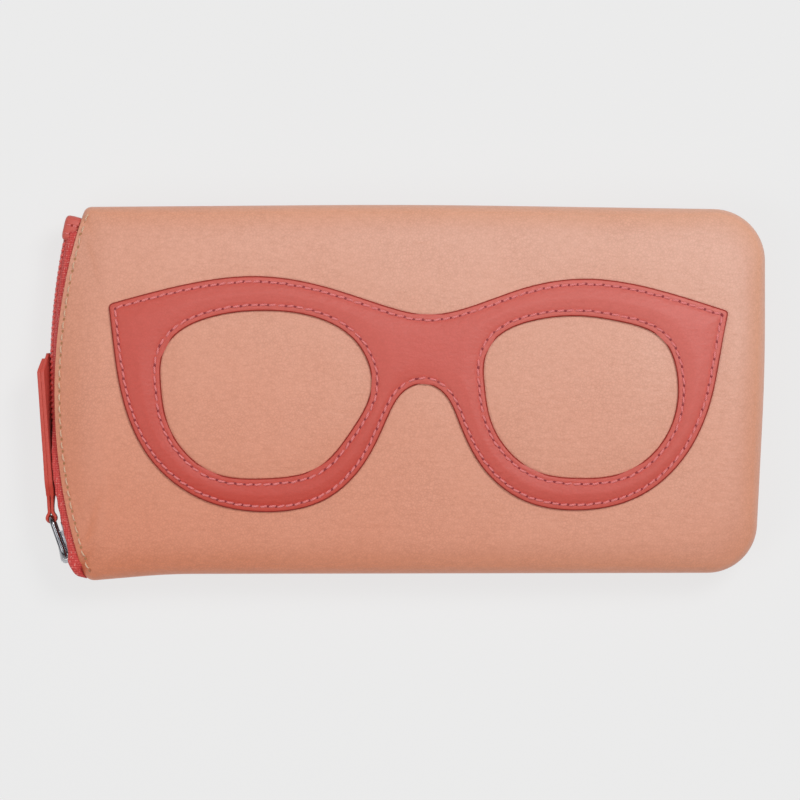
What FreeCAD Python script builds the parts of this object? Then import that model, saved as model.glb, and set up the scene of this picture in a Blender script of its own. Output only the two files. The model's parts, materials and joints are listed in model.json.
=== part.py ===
"""Soft two-compartment eyeglasses case, zipped at one end, lying on its back.

Frame, in millimetres: the origin is the centre of the flat area that the case rests on, +Z is up through
the decorated front, +X runs from the zipped mouth to the closed end, and +Y is across the case.

A front and a back wall, each of leather, foam and lining, are sewn together along three sides. The fourth
side, at -X, is the mouth, closed by a coil zip whose rows follow an arc. A divider hangs between the walls.
The slider runs along the arc, and its ring and leather pull swing on it.
"""

import FreeCAD, Part
import math
import os

from FreeCAD import Vector

# Case body
BACK_DEPTH = 11.5
FRONT_DEPTH = 12.5
SEAM_Z = BACK_DEPTH
CROWN_RADIUS = 250.0
FRONT_ROLL = 7.0
BACK_ROLL = 8.0
SEAM_GAP = 0.15
MOUTH_RADIUS = 139.0
MOUTH_X = -85.3
MOUTH_CENTRE_X = MOUTH_X + MOUTH_RADIUS
TOP_Y = 44.4
BOTTOM_Y = -45.6
END_X = 85.4

# Wall layers, as depths below the outer surface
LEATHER = (0.0, 1.2)
PADDING = (1.3, 3.2)
LINING = (3.3, 3.9)
PADDING_SETBACK = 7.5
LINING_SETBACK = 7.0
THREAD_CHANNEL = 0.6

# Mouth slot in the leather: half its height and half its length, with round ends
SLOT_HALF_HEIGHT = 5.5
SLOT_HALF_LENGTH = 42.5

# Zip: the rows follow an arc about a vertical axis
ZIP_RADIUS = 165.0
ZIP_X = -86.7
ZIP_Y = 4.0
ZIP_CENTRE = Vector(ZIP_X + ZIP_RADIUS, ZIP_Y, SEAM_Z)
COIL_DEPTH = 2.2
COIL_INNER_Z = 0.5
COIL_OUTER_Z = 3.1
COIL_PITCH = 1.35
COIL_TOOTH = 0.85
COIL_LOW_Y = -41.0
COIL_HIGH_Y = 36.6
TAPE_THICKNESS = 0.5
TAPE_FLAT_Z = 3.4
TAPE_TUCK = 2.6
TAPE_LOW_Y = -40.4
TAPE_HIGH_Y = 36.0
TAPE_GAP = 0.2

# Slider, ring and pull
SLIDER_Y = -36.2
SLIDER_LENGTH = 10.6
PLATE_GAP = 0.3
PLATE = 0.7
PLATE_HALF_WIDTH = 3.9
POST_HALF_WIDTH = 0.2
INNER_PLATE_GAP = 0.45
CROWN_LENGTH = 8.6
CROWN_WIDTH = 2.4
CROWN_SHIFT = -0.9
CROWN_HOLE = 1.95
CROWN_STRAP = 0.6
RING_LENGTH = 11.2
RING_WIDTH = 9.5
RING_WIRE = 1.3
RING_CORNER = 1.6
RING_PIVOT_SHIFT = -3.1
RING_TIP = Vector(-86.2, -30.4, SEAM_Z)
PULL_GAP = 0.45
PULL_WIDTH = 9.6
PULL_THICKNESS = 2.2
PULL_LOW_Y = -24.0
PULL_HIGH_Y = 9.2
PULL_POINT = 4.2
PULL_NECK_WIDTH = 5.0
PULL_EYE = 0.95
PULL_LEATHER = 0.95
PULL_PITCH = 2.3

# End tab over the tail of the zip
TAB_LOW_Y = 37.0
TAB_LENGTH = 5.4
TAB_OUTER = -0.2
TAB_INNER = -2.9
TAB_HALF_WIDTH = 4.4

# Divider
DIVIDER_INSET = 4.6
DIVIDER_SETBACK = 17.0
DIVIDER_HALF = 0.6
HEM_WIDTH = 6.0
HEM_HALF = 1.05

# Applique and stitches
APPLIQUE = 1.0
EASE = 0.02
STITCH_HEIGHT = 0.3
STITCH_WIDTH = 0.45
FRAME_PITCH = 2.1
FRAME_STITCH = 1.5
FRAME_MARGIN = 1.4
MOUTH_PITCH = 2.8
MOUTH_STITCH = 1.9

# Outline of the case in plan: corner, and the radius that rounds it
CASE_CORNERS = [
    (-78.1, TOP_Y, 4.0),
    (0.0, 45.0, 2000.0),
    (END_X, 43.7, 12.5),
    (END_X, 5.0, 500.0),
    (82.9, -43.6, 12.0),
    (-58.0, -43.9, 150.0),
    (-78.1, BOTTOM_Y, 4.0),
    (-90.3, 0.0, MOUTH_RADIUS),
]

# Glasses-shaped applique in plan: its top edge and bottom edge between the two tips, and its lens holes
FRAME_TOP = [
    (-72.2, 20.9), (-54.0, 25.6), (-36.0, 27.6), (-20.0, 25.0), (-5.0, 20.2), (4.0, 18.4),
    (14.4, 20.3), (28.0, 25.0), (42.0, 27.0), (58.0, 24.7), (76.3, 19.2),
]  # fmt: skip
FRAME_BOTTOM = [
    (76.3, 19.2), (73.9, 6.6), (72.1, -2.0), (65.0, -16.7), (55.0, -25.1), (40.0, -28.5),
    (27.0, -26.1), (18.0, -19.1), (11.6, -7.2), (8.0, -0.4), (3.8, 1.8), (-0.5, 0.7),
    (-5.5, -6.6), (-11.0, -17.4), (-20.0, -25.8), (-35.0, -28.9), (-50.5, -25.6),
    (-61.4, -17.2), (-67.2, -6.9), (-70.9, 10.1), (-72.2, 20.9),
]  # fmt: skip
LEFT_LENS = [
    (-59.7, 4.0), (-56.2, 13.4), (-47.0, 17.9), (-35.0, 19.3), (-22.0, 17.5), (-12.9, 11.8),
    (-9.2, 1.6), (-14.2, -9.5), (-22.0, -18.1), (-35.0, -20.8), (-48.0, -19.0), (-56.6, -10.6),
]  # fmt: skip
RIGHT_LENS = [
    (17.7, 3.5), (21.7, 13.6), (30.0, 17.0), (40.0, 18.0), (51.0, 16.5), (60.2, 12.6),
    (64.0, 2.8), (60.9, -11.2), (52.0, -19.0), (40.0, -20.7), (29.0, -18.5), (20.8, -10.2),
]  # fmt: skip


def polygon_inset(corners, inset):
    """Moves every side of a clockwise polygon of (x, y, radius) corners inwards, and eases the radii."""
    moved = []
    count = len(corners)
    for i in range(count):
        before = Vector(*corners[i - 1][:2], 0)
        here = Vector(*corners[i][:2], 0)
        after = Vector(*corners[(i + 1) % count][:2], 0)
        way_in = (here - before).normalize()
        way_out = (after - here).normalize()
        normal_in = Vector(way_in.y, -way_in.x, 0)
        normal_out = Vector(way_out.y, -way_out.x, 0)
        bisector = (normal_in + normal_out).normalize()
        corner = here + bisector * (inset / bisector.dot(normal_in))
        turns_in = way_in.cross(way_out).z < 0
        radius = corners[i][2] + (-inset if turns_in else inset)
        moved.append((corner.x, corner.y, max(radius, 0.3)))
    return moved


def rounded_wire(corners, z=0.0):
    """A closed wire of straight sides and tangent arcs; a corner with radius 0 stays sharp."""
    arcs = []
    count = len(corners)
    for i in range(count):
        before = Vector(*corners[i - 1][:2], z)
        here = Vector(*corners[i][:2], z)
        after = Vector(*corners[(i + 1) % count][:2], z)
        radius = corners[i][2]
        if radius == 0:
            arcs.append((here, None, here))
            continue
        back = (before - here).normalize()
        ahead = (after - here).normalize()
        half = back.getAngle(ahead) / 2
        reach = radius / math.tan(half)
        bisector = (back + ahead).normalize()
        middle = here + bisector * (radius / math.sin(half) - radius)
        arcs.append((here + back * reach, middle, here + ahead * reach))
    edges = []
    for i, (start, middle, end) in enumerate(arcs):
        if middle is not None:
            edges.append(Part.Arc(start, middle, end).toShape())
        edges.append(Part.makeLine(end, arcs[(i + 1) % count][0]))
    return Part.Wire(edges)


def box(x0, x1, y0, y1, z0, z1):
    """A box between two corners."""
    return Part.makeBox(x1 - x0, y1 - y0, z1 - z0, Vector(x0, y0, z0))


def mouth_trim(setback):
    """A tall solid that ends along the mouth's arc, moved in by setback."""
    trim = Part.makeCylinder(MOUTH_RADIUS - setback, 60.0, Vector(MOUTH_CENTRE_X, 0, SEAM_Z - 30))
    return trim


def pillow(inset, depth, roll, crowned):
    """Half of the case as a solid: the plan outline, raised by depth from the seam, with a rolled edge.

    The two corners at the mouth are tighter than the roll, so the roll is mitred there and then cut round.
    """
    corners = polygon_inset(CASE_CORNERS, inset)
    mitred = [(x, y, 0 if x < -70 and abs(y) > 30 else radius) for x, y, radius in corners]
    height = depth - inset
    solid = Part.Face(rounded_wire(mitred)).extrude(Vector(0, 0, height))
    if crowned:
        radius = CROWN_RADIUS - inset
        crown = Part.makeCylinder(radius, 220, Vector(-110, 0, height - radius), Vector(1, 0, 0))
        solid = solid.common(crown)
    rim = [e for e in solid.Edges if e.BoundBox.ZMin > height * 0.4]
    rolled = solid.makeFillet(roll - inset, rim)
    return rolled.common(Part.Face(rounded_wire(corners)).extrude(Vector(0, 0, height + 5)))


def wall_layer(front, layer, base_gap, setback=0.0):
    """One layer of a wall: the space between two depths below the outer surface."""
    outer_inset, inner_inset = layer
    depth = FRONT_DEPTH if front else BACK_DEPTH
    roll = FRONT_ROLL if front else BACK_ROLL
    shell = pillow(outer_inset, depth, roll, front).cut(pillow(inner_inset, depth, roll, front))
    shell = shell.cut(box(-120, 120, -80, 80, -5, base_gap))
    if not front:
        shell = shell.mirror(Vector(0, 0, 0), Vector(0, 0, 1))
    shell.translate(Vector(0, 0, SEAM_Z))
    if setback:
        shell = shell.common(mouth_trim(setback))
    return shell


def mouth_slot():
    """The slot through the leather at the mouth, where the zip shows."""
    straight = SLOT_HALF_LENGTH - SLOT_HALF_HEIGHT
    slot = box(-100, -70, -straight, straight, SEAM_Z - SLOT_HALF_HEIGHT, SEAM_Z + SLOT_HALF_HEIGHT)
    for side in (-1, 1):
        end = Part.makeCylinder(SLOT_HALF_HEIGHT, 30, Vector(-100, side * straight, SEAM_Z), Vector(1, 0, 0))
        slot = slot.fuse(end)
    return slot


def slot_height(y):
    """Half the height of the mouth slot at a place along it."""
    beyond = max(0.0, abs(y) - (SLOT_HALF_LENGTH - SLOT_HALF_HEIGHT))
    return math.sqrt(SLOT_HALF_HEIGHT**2 - beyond**2)


def mouth_x(y):
    """Where the leather's outer face stands at the mouth."""
    return MOUTH_CENTRE_X - math.sqrt(MOUTH_RADIUS**2 - y**2)


def leather_inner_x(y, side, height):
    """Where the leather's inner face stands at the mouth, at a height above or below the seam."""
    depth = FRONT_DEPTH if side > 0 else BACK_DEPTH
    roll = FRONT_ROLL if side > 0 else BACK_ROLL
    drop = CROWN_RADIUS - math.sqrt(CROWN_RADIUS**2 - y**2) if side > 0 else 0.0
    rise = max(0.0, height + drop - (depth - roll))
    return mouth_x(y) + roll - math.sqrt((roll - LEATHER[1]) ** 2 - rise**2)


def zip_x(y):
    """Where the outer face of the coil stands."""
    return ZIP_CENTRE.x - math.sqrt(ZIP_RADIUS**2 - (y - ZIP_Y) ** 2)


def tape(side):
    """Half of the zip's tape: flat behind the coil, then drawn in under the leather. Side is 1 or -1."""
    columns = []
    steps = 13
    for i in range(steps):
        y = TAPE_LOW_Y + (TAPE_HIGH_Y - TAPE_LOW_Y) * i / (steps - 1)
        lip = slot_height(y)
        chain = zip_x(y) + COIL_DEPTH + TAPE_GAP
        behind_lip = max(leather_inner_x(y, side, lip) + 0.25, chain)
        end = max(leather_inner_x(y, side, lip + TAPE_TUCK) + 0.3, behind_lip + 0.5)
        column = [
            Vector(chain, y, SEAM_Z + side * COIL_INNER_Z),
            Vector(chain, y, SEAM_Z + side * TAPE_FLAT_Z),
            Vector(behind_lip, y, SEAM_Z + side * (lip - 0.4)),
            Vector(end, y, SEAM_Z + side * (lip + TAPE_TUCK)),
        ]
        columns.append(column)
    strips = []
    for low, high in ((0, 1), (1, 2), (2, 3)):
        edges = []
        for row in (low, high):
            curve = Part.BSplineCurve()
            curve.interpolate([column[row] for column in columns])
            edges.append(curve.toShape())
        strips.append(Part.makeRuledSurface(edges[0], edges[1]))
    solid = strips[0].extrude(Vector(TAPE_THICKNESS, 0, 0))
    for strip in strips[1:]:
        solid = solid.fuse(strip.extrude(Vector(TAPE_THICKNESS, 0, 0)))
    return solid.removeSplitter()


def on_zip(shape, y):
    """Turns a shape modelled at the arc's outermost point to its place along the zip."""
    placed = shape.copy()
    placed.rotate(ZIP_CENTRE, Vector(0, 0, 1), -math.degrees(math.asin((y - ZIP_Y) / ZIP_RADIUS)))
    return placed


def coil(side):
    """One row of the coil, as its separate turns."""
    low, high = sorted((side * COIL_INNER_Z, side * COIL_OUTER_Z))
    turn = box(ZIP_X, ZIP_X + COIL_DEPTH, ZIP_Y - COIL_TOOTH / 2, ZIP_Y + COIL_TOOTH / 2, SEAM_Z + low, SEAM_Z + high)
    turn = turn.makeFillet(0.35, [e for e in turn.Edges if abs(e.tangentAt(e.FirstParameter).y) > 0.9])
    turns = []
    y = COIL_LOW_Y + (COIL_PITCH / 2 if side > 0 else 0.0)
    while y < COIL_HIGH_Y - COIL_TOOTH / 2:
        turns.append(on_zip(turn, y))
        y += COIL_PITCH
    return Part.makeCompound(turns)


def slider_parts():
    """The slider's body, its crown and its locking spring, modelled at the arc's outermost point."""
    half = SLIDER_LENGTH / 2
    face = ZIP_X - PLATE_GAP
    inner_face = ZIP_X + COIL_DEPTH + TAPE_GAP + TAPE_THICKNESS + INNER_PLATE_GAP
    shape = [
        (ZIP_Y - half, PLATE_HALF_WIDTH, 2.0),
        (ZIP_Y + half, PLATE_HALF_WIDTH - 0.7, 1.0),
        (ZIP_Y + half, -PLATE_HALF_WIDTH + 0.7, 1.0),
        (ZIP_Y - half, -PLATE_HALF_WIDTH, 2.0),
    ]
    plan = Part.Face(rounded_wire(shape))
    plate = plan.extrude(Vector(0, 0, PLATE))
    plate.rotate(Vector(0, 0, 0), Vector(0, 0, 1), 90)
    plate.rotate(Vector(0, 0, 0), Vector(0, 1, 0), -90)
    stand = plate.BoundBox
    plate.translate(Vector(-stand.XMin, ZIP_Y - stand.Center.y, SEAM_Z - stand.Center.z))
    outer = plate.copy()
    outer.translate(Vector(face - PLATE, 0, 0))
    inner = plate.copy()
    inner.translate(Vector(inner_face, 0, 0))
    post = box(face - 0.1, inner_face + 0.1, ZIP_Y - half + 0.4, ZIP_Y - half + 4.2,
               SEAM_Z - POST_HALF_WIDTH, SEAM_Z + POST_HALF_WIDTH)  # fmt: skip
    flange = box(face - 0.1, face + 1.5, ZIP_Y - half + 2.2, ZIP_Y + half - 1.2,
                 SEAM_Z - PLATE_HALF_WIDTH + 0.1, SEAM_Z - PLATE_HALF_WIDTH + 0.5)  # fmt: skip
    body = outer.fuse([inner, post, flange]).removeSplitter()

    crown_top = face - PLATE - CROWN_HOLE - CROWN_STRAP
    crown_low = ZIP_Y + CROWN_SHIFT - CROWN_LENGTH / 2
    crown_high = ZIP_Y + CROWN_SHIFT + CROWN_LENGTH / 2
    crown = box(crown_top, face - PLATE, crown_low, crown_high, SEAM_Z - CROWN_WIDTH / 2, SEAM_Z + CROWN_WIDTH / 2)
    crown = crown.makeFillet(1.5, [e for e in crown.Edges if e.BoundBox.ZLength > 1 and e.BoundBox.XMax < crown_top + 0.1])
    hole = box(face - PLATE - CROWN_HOLE, face - PLATE + 1, crown_low + 0.7, crown_high - 0.9, SEAM_Z - 5, SEAM_Z + 5)
    hole = hole.makeFillet(0.8, [e for e in hole.Edges if e.BoundBox.ZLength > 1 and e.BoundBox.XMax < face - PLATE - 1])
    crown = crown.cut(hole)

    spring = box(face - PLATE - CROWN_HOLE + 0.02, face - PLATE - CROWN_HOLE + 0.27,
                 ZIP_Y - 0.6, crown_high - 1.4, SEAM_Z - 0.5, SEAM_Z + 0.5)  # fmt: skip
    leg = box(face - PLATE - CROWN_HOLE + 0.02, face - PLATE - 0.02, crown_high - 1.6, crown_high - 1.35,
              SEAM_Z - 0.5, SEAM_Z + 0.5)  # fmt: skip
    return body, crown, spring.fuse(leg).removeSplitter()


def pivot_point():
    """The axis of the ring's bar inside the crown, in place on the zip."""
    bar_x = ZIP_X - PLATE_GAP - PLATE - CROWN_HOLE / 2
    marker = Part.Vertex(Vector(bar_x, ZIP_Y + RING_PIVOT_SHIFT, SEAM_Z))
    return on_zip(marker, SLIDER_Y).Point


def upright(origin, direction, x, z):
    """The point x along a level direction from origin, and z up."""
    return origin + direction * x + Vector(0, 0, z)


def pull_ring():
    """A rectangular wire loop with round corners, from its bar in the crown to its tip bar."""
    origin = pivot_point()
    along = (RING_TIP - origin).normalize()
    reach = RING_LENGTH - RING_WIRE
    half = (RING_WIDTH - RING_WIRE) / 2
    corners = [(0, -half), (0, half), (reach, half), (reach, -half)]
    offset = RING_CORNER
    diagonal = offset * (1 - math.sqrt(0.5))
    pieces = []
    count = len(corners)
    ends = []
    for x, z in corners:
        inward_x = 1 if x == 0 else -1
        inward_z = 1 if z < 0 else -1
        on_bar = upright(origin, along, x, z + inward_z * offset)
        on_side = upright(origin, along, x + inward_x * offset, z)
        middle = upright(origin, along, x + inward_x * diagonal, z + inward_z * diagonal)
        ends.append((on_bar, middle, on_side))
    order = [
        Part.makeLine(ends[0][0], ends[1][0]),
        Part.Arc(*ends[1]).toShape(),
        Part.makeLine(ends[1][2], ends[2][2]),
        Part.Arc(*reversed(ends[2])).toShape(),
        Part.makeLine(ends[2][0], ends[3][0]),
        Part.Arc(*ends[3]).toShape(),
        Part.makeLine(ends[3][2], ends[0][2]),
        Part.Arc(*reversed(ends[0])).toShape(),
    ]
    path = Part.Wire(order)
    profile = Part.Wire(Part.makeCircle(RING_WIRE / 2, ends[0][0], ends[1][0] - ends[0][0]))
    return path.makePipeShell([profile], True, False)


def ring_tip():
    """The centre of the ring's tip bar."""
    origin = pivot_point()
    along = (RING_TIP - origin).normalize()
    return origin + along * (RING_LENGTH - RING_WIRE)


def touch_point(centre, radius, point, side):
    """Where a line from a point touches a circle, on the side asked for: 1 is to the left of the way there."""
    there = point - centre
    swing = math.acos(radius / there.Length) * side
    heading = math.atan2(there.y, there.x) + swing
    return centre + Vector(math.cos(heading), math.sin(heading), 0) * radius


def pull_strap():
    """A leather strip folded round the ring's tip bar and glued to itself, bent along the zip, with a point."""
    eye = ring_tip()
    outer = PULL_EYE + PULL_LEATHER
    inner_radius = ZIP_RADIUS + PULL_GAP
    outer_radius = inner_radius + PULL_THICKNESS
    centre = ZIP_CENTRE - Vector(0, 0, PULL_WIDTH / 2)
    slab = Part.makeCylinder(outer_radius, PULL_WIDTH, centre).cut(Part.makeCylinder(inner_radius, PULL_WIDTH, centre))
    slab = slab.common(box(-100, 0, PULL_LOW_Y, PULL_HIGH_Y, 0, 50))

    outside = Vector(ZIP_CENTRE.x - math.sqrt(outer_radius**2 - (PULL_LOW_Y - ZIP_Y) ** 2), PULL_LOW_Y, SEAM_Z)
    inside = Vector(ZIP_CENTRE.x - math.sqrt(inner_radius**2 - (PULL_LOW_Y - ZIP_Y) ** 2), PULL_LOW_Y, SEAM_Z)
    corners = [outside, touch_point(eye, outer, outside, 1), touch_point(eye, outer, inside, -1), inside]
    neck = Part.Face(Part.makePolygon(corners + [outside])).extrude(Vector(0, 0, PULL_WIDTH))
    neck.translate(Vector(0, 0, -PULL_WIDTH / 2))
    loop = Part.makeCylinder(outer, PULL_WIDTH, eye - Vector(0, 0, PULL_WIDTH / 2))
    strip = slab.fuse([neck, loop]).removeSplitter()

    plan = [
        (eye.y - 4.0, PULL_NECK_WIDTH / 2, 0.3),
        (PULL_LOW_Y - 1.5, PULL_NECK_WIDTH / 2, 2.0),
        (PULL_LOW_Y + 2.0, PULL_WIDTH / 2, 2.0),
        (PULL_HIGH_Y - PULL_POINT, PULL_WIDTH / 2, 0.8),
        (PULL_HIGH_Y, 0.6, 0.5),
        (PULL_HIGH_Y, -0.6, 0.5),
        (PULL_HIGH_Y - PULL_POINT, -PULL_WIDTH / 2, 0.8),
        (PULL_LOW_Y + 2.0, -PULL_WIDTH / 2, 2.0),
        (PULL_LOW_Y - 1.5, -PULL_NECK_WIDTH / 2, 2.0),
        (eye.y - 4.0, -PULL_NECK_WIDTH / 2, 0.3),
    ]
    cutter = Part.Face(rounded_wire(plan)).extrude(Vector(0, 0, 20))
    cutter.rotate(Vector(0, 0, 0), Vector(1, 1, 1), 120)
    cutter.translate(Vector(-100, 0, SEAM_Z))
    return strip.common(cutter).cut(Part.makeCylinder(PULL_EYE, 20, eye - Vector(0, 0, 10)))


def pull_stitches():
    """Stitches along both long edges of the pull, on both faces."""
    count = int((PULL_HIGH_Y - PULL_POINT - PULL_LOW_Y - 4) / PULL_PITCH)
    stitches = []
    for gap in (PULL_GAP - 0.2 - EASE, PULL_GAP + PULL_THICKNESS + EASE):
        for edge in (-1, 1):
            z = SEAM_Z + edge * (PULL_WIDTH / 2 - 1.2)
            stitch = box(ZIP_X - gap - 0.2, ZIP_X - gap, ZIP_Y - 0.8, ZIP_Y + 0.8, z - 0.2, z + 0.2)
            for i in range(count):
                stitches.append(on_zip(stitch, PULL_LOW_Y + 3.5 + i * PULL_PITCH))
    return Part.makeCompound(stitches)


def tab_parts():
    """The leather tab folded over the zip's tail, the tail inside it, and the tab's stitches."""
    low = ZIP_Y
    outer_x = ZIP_X - TAB_OUTER
    inner_x = ZIP_X - TAB_INNER
    block = box(outer_x, inner_x, low, low + TAB_LENGTH, SEAM_Z - TAB_HALF_WIDTH, SEAM_Z + TAB_HALF_WIDTH)
    block = block.makeFillet(1.2, [e for e in block.Edges if e.BoundBox.YMin > low + TAB_LENGTH - 0.1])
    pocket = box(outer_x + 1.0, inner_x - 1.0, low - 1, low + TAB_LENGTH - 1.2,
                 SEAM_Z - TAB_HALF_WIDTH + 0.8, SEAM_Z + TAB_HALF_WIDTH - 0.8)  # fmt: skip
    tail = box(outer_x + 1.1, inner_x - 1.1, low + 0.1, low + TAB_LENGTH - 1.4,
               SEAM_Z - TAB_HALF_WIDTH + 1.0, SEAM_Z + TAB_HALF_WIDTH - 1.0)  # fmt: skip
    stitches = []
    for x in (outer_x - EASE - 0.2, inner_x + EASE):
        for i in range(3):
            z = SEAM_Z + (i - 1) * 2.4
            stitches.append(box(x, x + 0.2, low + 1.2, low + 1.6, z - 0.9, z + 0.9))
    middle = TAB_LOW_Y
    shapes = [block.cut(pocket), tail, Part.makeCompound(stitches)]
    return [on_zip(shape, middle) for shape in shapes]


def crown_z(y, depth=0.0):
    """Height of the front's crowned surface, or of a surface at a depth below it."""
    radius = CROWN_RADIUS - depth
    return SEAM_Z + FRONT_DEPTH - depth - radius + math.sqrt(radius**2 - y**2)


def curve_through(points, closed):
    """A smooth curve through plan points."""
    curve = Part.BSplineCurve()
    vectors = [Vector(x, y, 0) for x, y in points]
    curve.interpolate(vectors, closed)
    return curve


def applique():
    """The glasses-shaped leather piece, as a curved slab on the front."""
    top = curve_through(FRAME_TOP, False)
    bottom = curve_through(FRAME_BOTTOM, False)
    outline = Part.Wire([top.toShape(), bottom.toShape()])
    plate = Part.Face(outline).extrude(Vector(0, 0, 60))
    for lens in (LEFT_LENS, RIGHT_LENS):
        hole = Part.Face(Part.Wire(curve_through(lens, True).toShape())).extrude(Vector(0, 0, 60))
        plate = plate.cut(hole)
    axis_z = SEAM_Z + FRONT_DEPTH - CROWN_RADIUS
    skins = []
    for lift in (EASE, EASE + APPLIQUE):
        skins.append(Part.makeCylinder(CROWN_RADIUS + lift, 220, Vector(-110, 0, axis_z), Vector(1, 0, 0)))
    return plate.common(skins[1].cut(skins[0]))


def surface_stitches(points_at, length, pitch, stitch, margin):
    """Stitches laid on the applique along a plan curve, moved in by margin."""
    count = int(length / pitch)
    stitches = []
    for i in range(count):
        place, heading = points_at(length * (i + 0.5) / count)
        normal = Vector(heading.y, -heading.x, 0)
        spot = place + normal * margin
        tilt = math.degrees(math.asin(spot.y / CROWN_RADIUS))
        thread = box(-stitch / 2, stitch / 2, -STITCH_WIDTH / 2, STITCH_WIDTH / 2, 0, STITCH_HEIGHT)
        thread.rotate(Vector(0, 0, 0), Vector(0, 0, 1), math.degrees(math.atan2(heading.y, heading.x)))
        thread.rotate(Vector(0, 0, 0), Vector(1, 0, 0), -tilt)
        thread.translate(Vector(spot.x, spot.y, crown_z(spot.y) + APPLIQUE + 3 * EASE))
        stitches.append(thread)
    return stitches


def along_curve(curve):
    """A function from a distance along a curve to its point and heading there."""
    edge = curve.toShape()

    def points_at(distance):
        parameter = edge.getParameterByLength(distance)
        return edge.valueAt(parameter), edge.tangentAt(parameter)

    return points_at, edge.Length


def frame_stitches():
    """The row of stitches inside the applique's outer edge."""
    stitches = []
    for points in (FRAME_TOP, FRAME_BOTTOM):
        points_at, length = along_curve(curve_through(points, False))
        row = surface_stitches(
            lambda d, f=points_at: f(d + FRAME_MARGIN), length - 2 * FRAME_MARGIN, FRAME_PITCH, FRAME_STITCH, FRAME_MARGIN
        )
        stitches += row
    return Part.makeCompound(stitches)


def lens_stitches(points):
    """The row of stitches round a lens hole."""
    points_at, length = along_curve(curve_through(points, True))
    return Part.makeCompound(surface_stitches(points_at, length, FRAME_PITCH, FRAME_STITCH, -FRAME_MARGIN))


def mouth_stitches(side, panel):
    """The row of stitches beside the mouth slot, on the rolled leather."""
    stitches = []
    straight = SLOT_HALF_LENGTH - SLOT_HALF_HEIGHT
    count = int(2 * straight / MOUTH_PITCH)
    z = SEAM_Z + side * (SLOT_HALF_HEIGHT + 2.0)
    for i in range(count):
        y = straight * (2 * (i + 0.5) / count - 1)
        found = panel.common(Part.makeLine(Vector(-100, y, z), Vector(-70, y, z)))
        x = min(v.X for v in found.Vertexes)
        lean = math.degrees(math.asin(y / MOUTH_RADIUS))
        thread = box(-0.32, -0.02, -MOUTH_STITCH / 2, MOUTH_STITCH / 2, -0.22, 0.22)
        thread.translate(Vector(-0.25, 0, 0))
        thread.rotate(Vector(0, 0, 0), Vector(0, 0, 1), -lean)
        thread.translate(Vector(x, y, z))
        stitches.append(thread)
    return Part.makeCompound(stitches)


def seam_thread():
    """The hidden thread that closes the turned seam on three sides."""
    outer = Part.Face(rounded_wire(polygon_inset(CASE_CORNERS, 2.15))).extrude(Vector(0, 0, 0.5))
    inner = Part.Face(rounded_wire(polygon_inset(CASE_CORNERS, 2.65))).extrude(Vector(0, 0, 0.5))
    ring = outer.cut(inner)
    ring.translate(Vector(0, 0, SEAM_Z - 0.25))
    return ring.common(mouth_trim(PADDING_SETBACK))


def divider_parts():
    """The divider, the hem bound over its free edge, and the hem's stitches."""
    outline = rounded_wire(polygon_inset(CASE_CORNERS, DIVIDER_INSET))
    sheet = Part.Face(outline).extrude(Vector(0, 0, 2 * DIVIDER_HALF))
    sheet.translate(Vector(0, 0, SEAM_Z - DIVIDER_HALF))
    panel = sheet.common(mouth_trim(DIVIDER_SETBACK))
    hem = Part.Face(outline).extrude(Vector(0, 0, 2 * HEM_HALF))
    hem.translate(Vector(0, 0, SEAM_Z - HEM_HALF))
    hem = hem.common(mouth_trim(DIVIDER_SETBACK - 0.5)).cut(mouth_trim(DIVIDER_SETBACK + HEM_WIDTH))
    slot = box(-100, 100, -60, 60, SEAM_Z - DIVIDER_HALF - EASE, SEAM_Z + DIVIDER_HALF + EASE)
    hem = hem.cut(slot.common(mouth_trim(DIVIDER_SETBACK - 0.1)))
    stitches = []
    for face in (-1, 1):
        for i in range(26):
            y = -36.0 + i * 2.88
            radius = MOUTH_RADIUS - DIVIDER_SETBACK - HEM_WIDTH + 1.2
            x = MOUTH_CENTRE_X - math.sqrt(radius**2 - y**2)
            low, high = sorted((face * (HEM_HALF + EASE), face * (HEM_HALF + EASE + 0.25)))
            thread = box(-0.2, 0.2, -0.9, 0.9, low, high)
            thread.rotate(Vector(0, 0, 0), Vector(0, 0, 1), -math.degrees(math.asin(y / radius)))
            thread.translate(Vector(x, y, SEAM_Z))
            stitches.append(thread)
    return panel, hem, Part.makeCompound(stitches)


def build():
    """Every sub-part, by node name."""
    nodes = {}
    slot = mouth_slot()
    for name, front in (("front", True), ("back", False)):
        side = 1 if front else -1
        nodes[f"{name}_panel"] = wall_layer(front, LEATHER, SEAM_GAP).cut(slot)
        nodes[f"{name}_padding"] = wall_layer(front, PADDING, THREAD_CHANNEL, PADDING_SETBACK)
        nodes[f"{name}_lining"] = wall_layer(front, LINING, SEAM_GAP, LINING_SETBACK)
        nodes[f"zip_tape_{name}"] = tape(side)
        nodes[f"zip_coil_{name}"] = coil(side)
        nodes[f"mouth_stitches_{name}"] = mouth_stitches(side, nodes[f"{name}_panel"])
    nodes["seam_thread"] = seam_thread()
    nodes["glasses_applique"] = applique()
    nodes["applique_edge_stitches"] = frame_stitches()
    nodes["left_lens_stitches"] = lens_stitches(LEFT_LENS)
    nodes["right_lens_stitches"] = lens_stitches(RIGHT_LENS)
    panel, hem, threads = divider_parts()
    nodes["divider_panel"] = panel
    nodes["divider_hem"] = hem
    nodes["divider_stitches"] = threads
    tab, tail, tab_threads = tab_parts()
    nodes["zip_end_tab"] = tab
    nodes["zip_tail"] = tail
    nodes["tab_stitches"] = tab_threads
    body, crown, spring = slider_parts()
    nodes["slider_body"] = on_zip(body, SLIDER_Y)
    nodes["slider_crown"] = on_zip(crown, SLIDER_Y)
    nodes["slider_lock_spring"] = on_zip(spring, SLIDER_Y)
    nodes["pull_ring"] = pull_ring()
    nodes["pull_strap"] = pull_strap()
    nodes["pull_stitches"] = pull_stitches()
    return nodes


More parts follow.
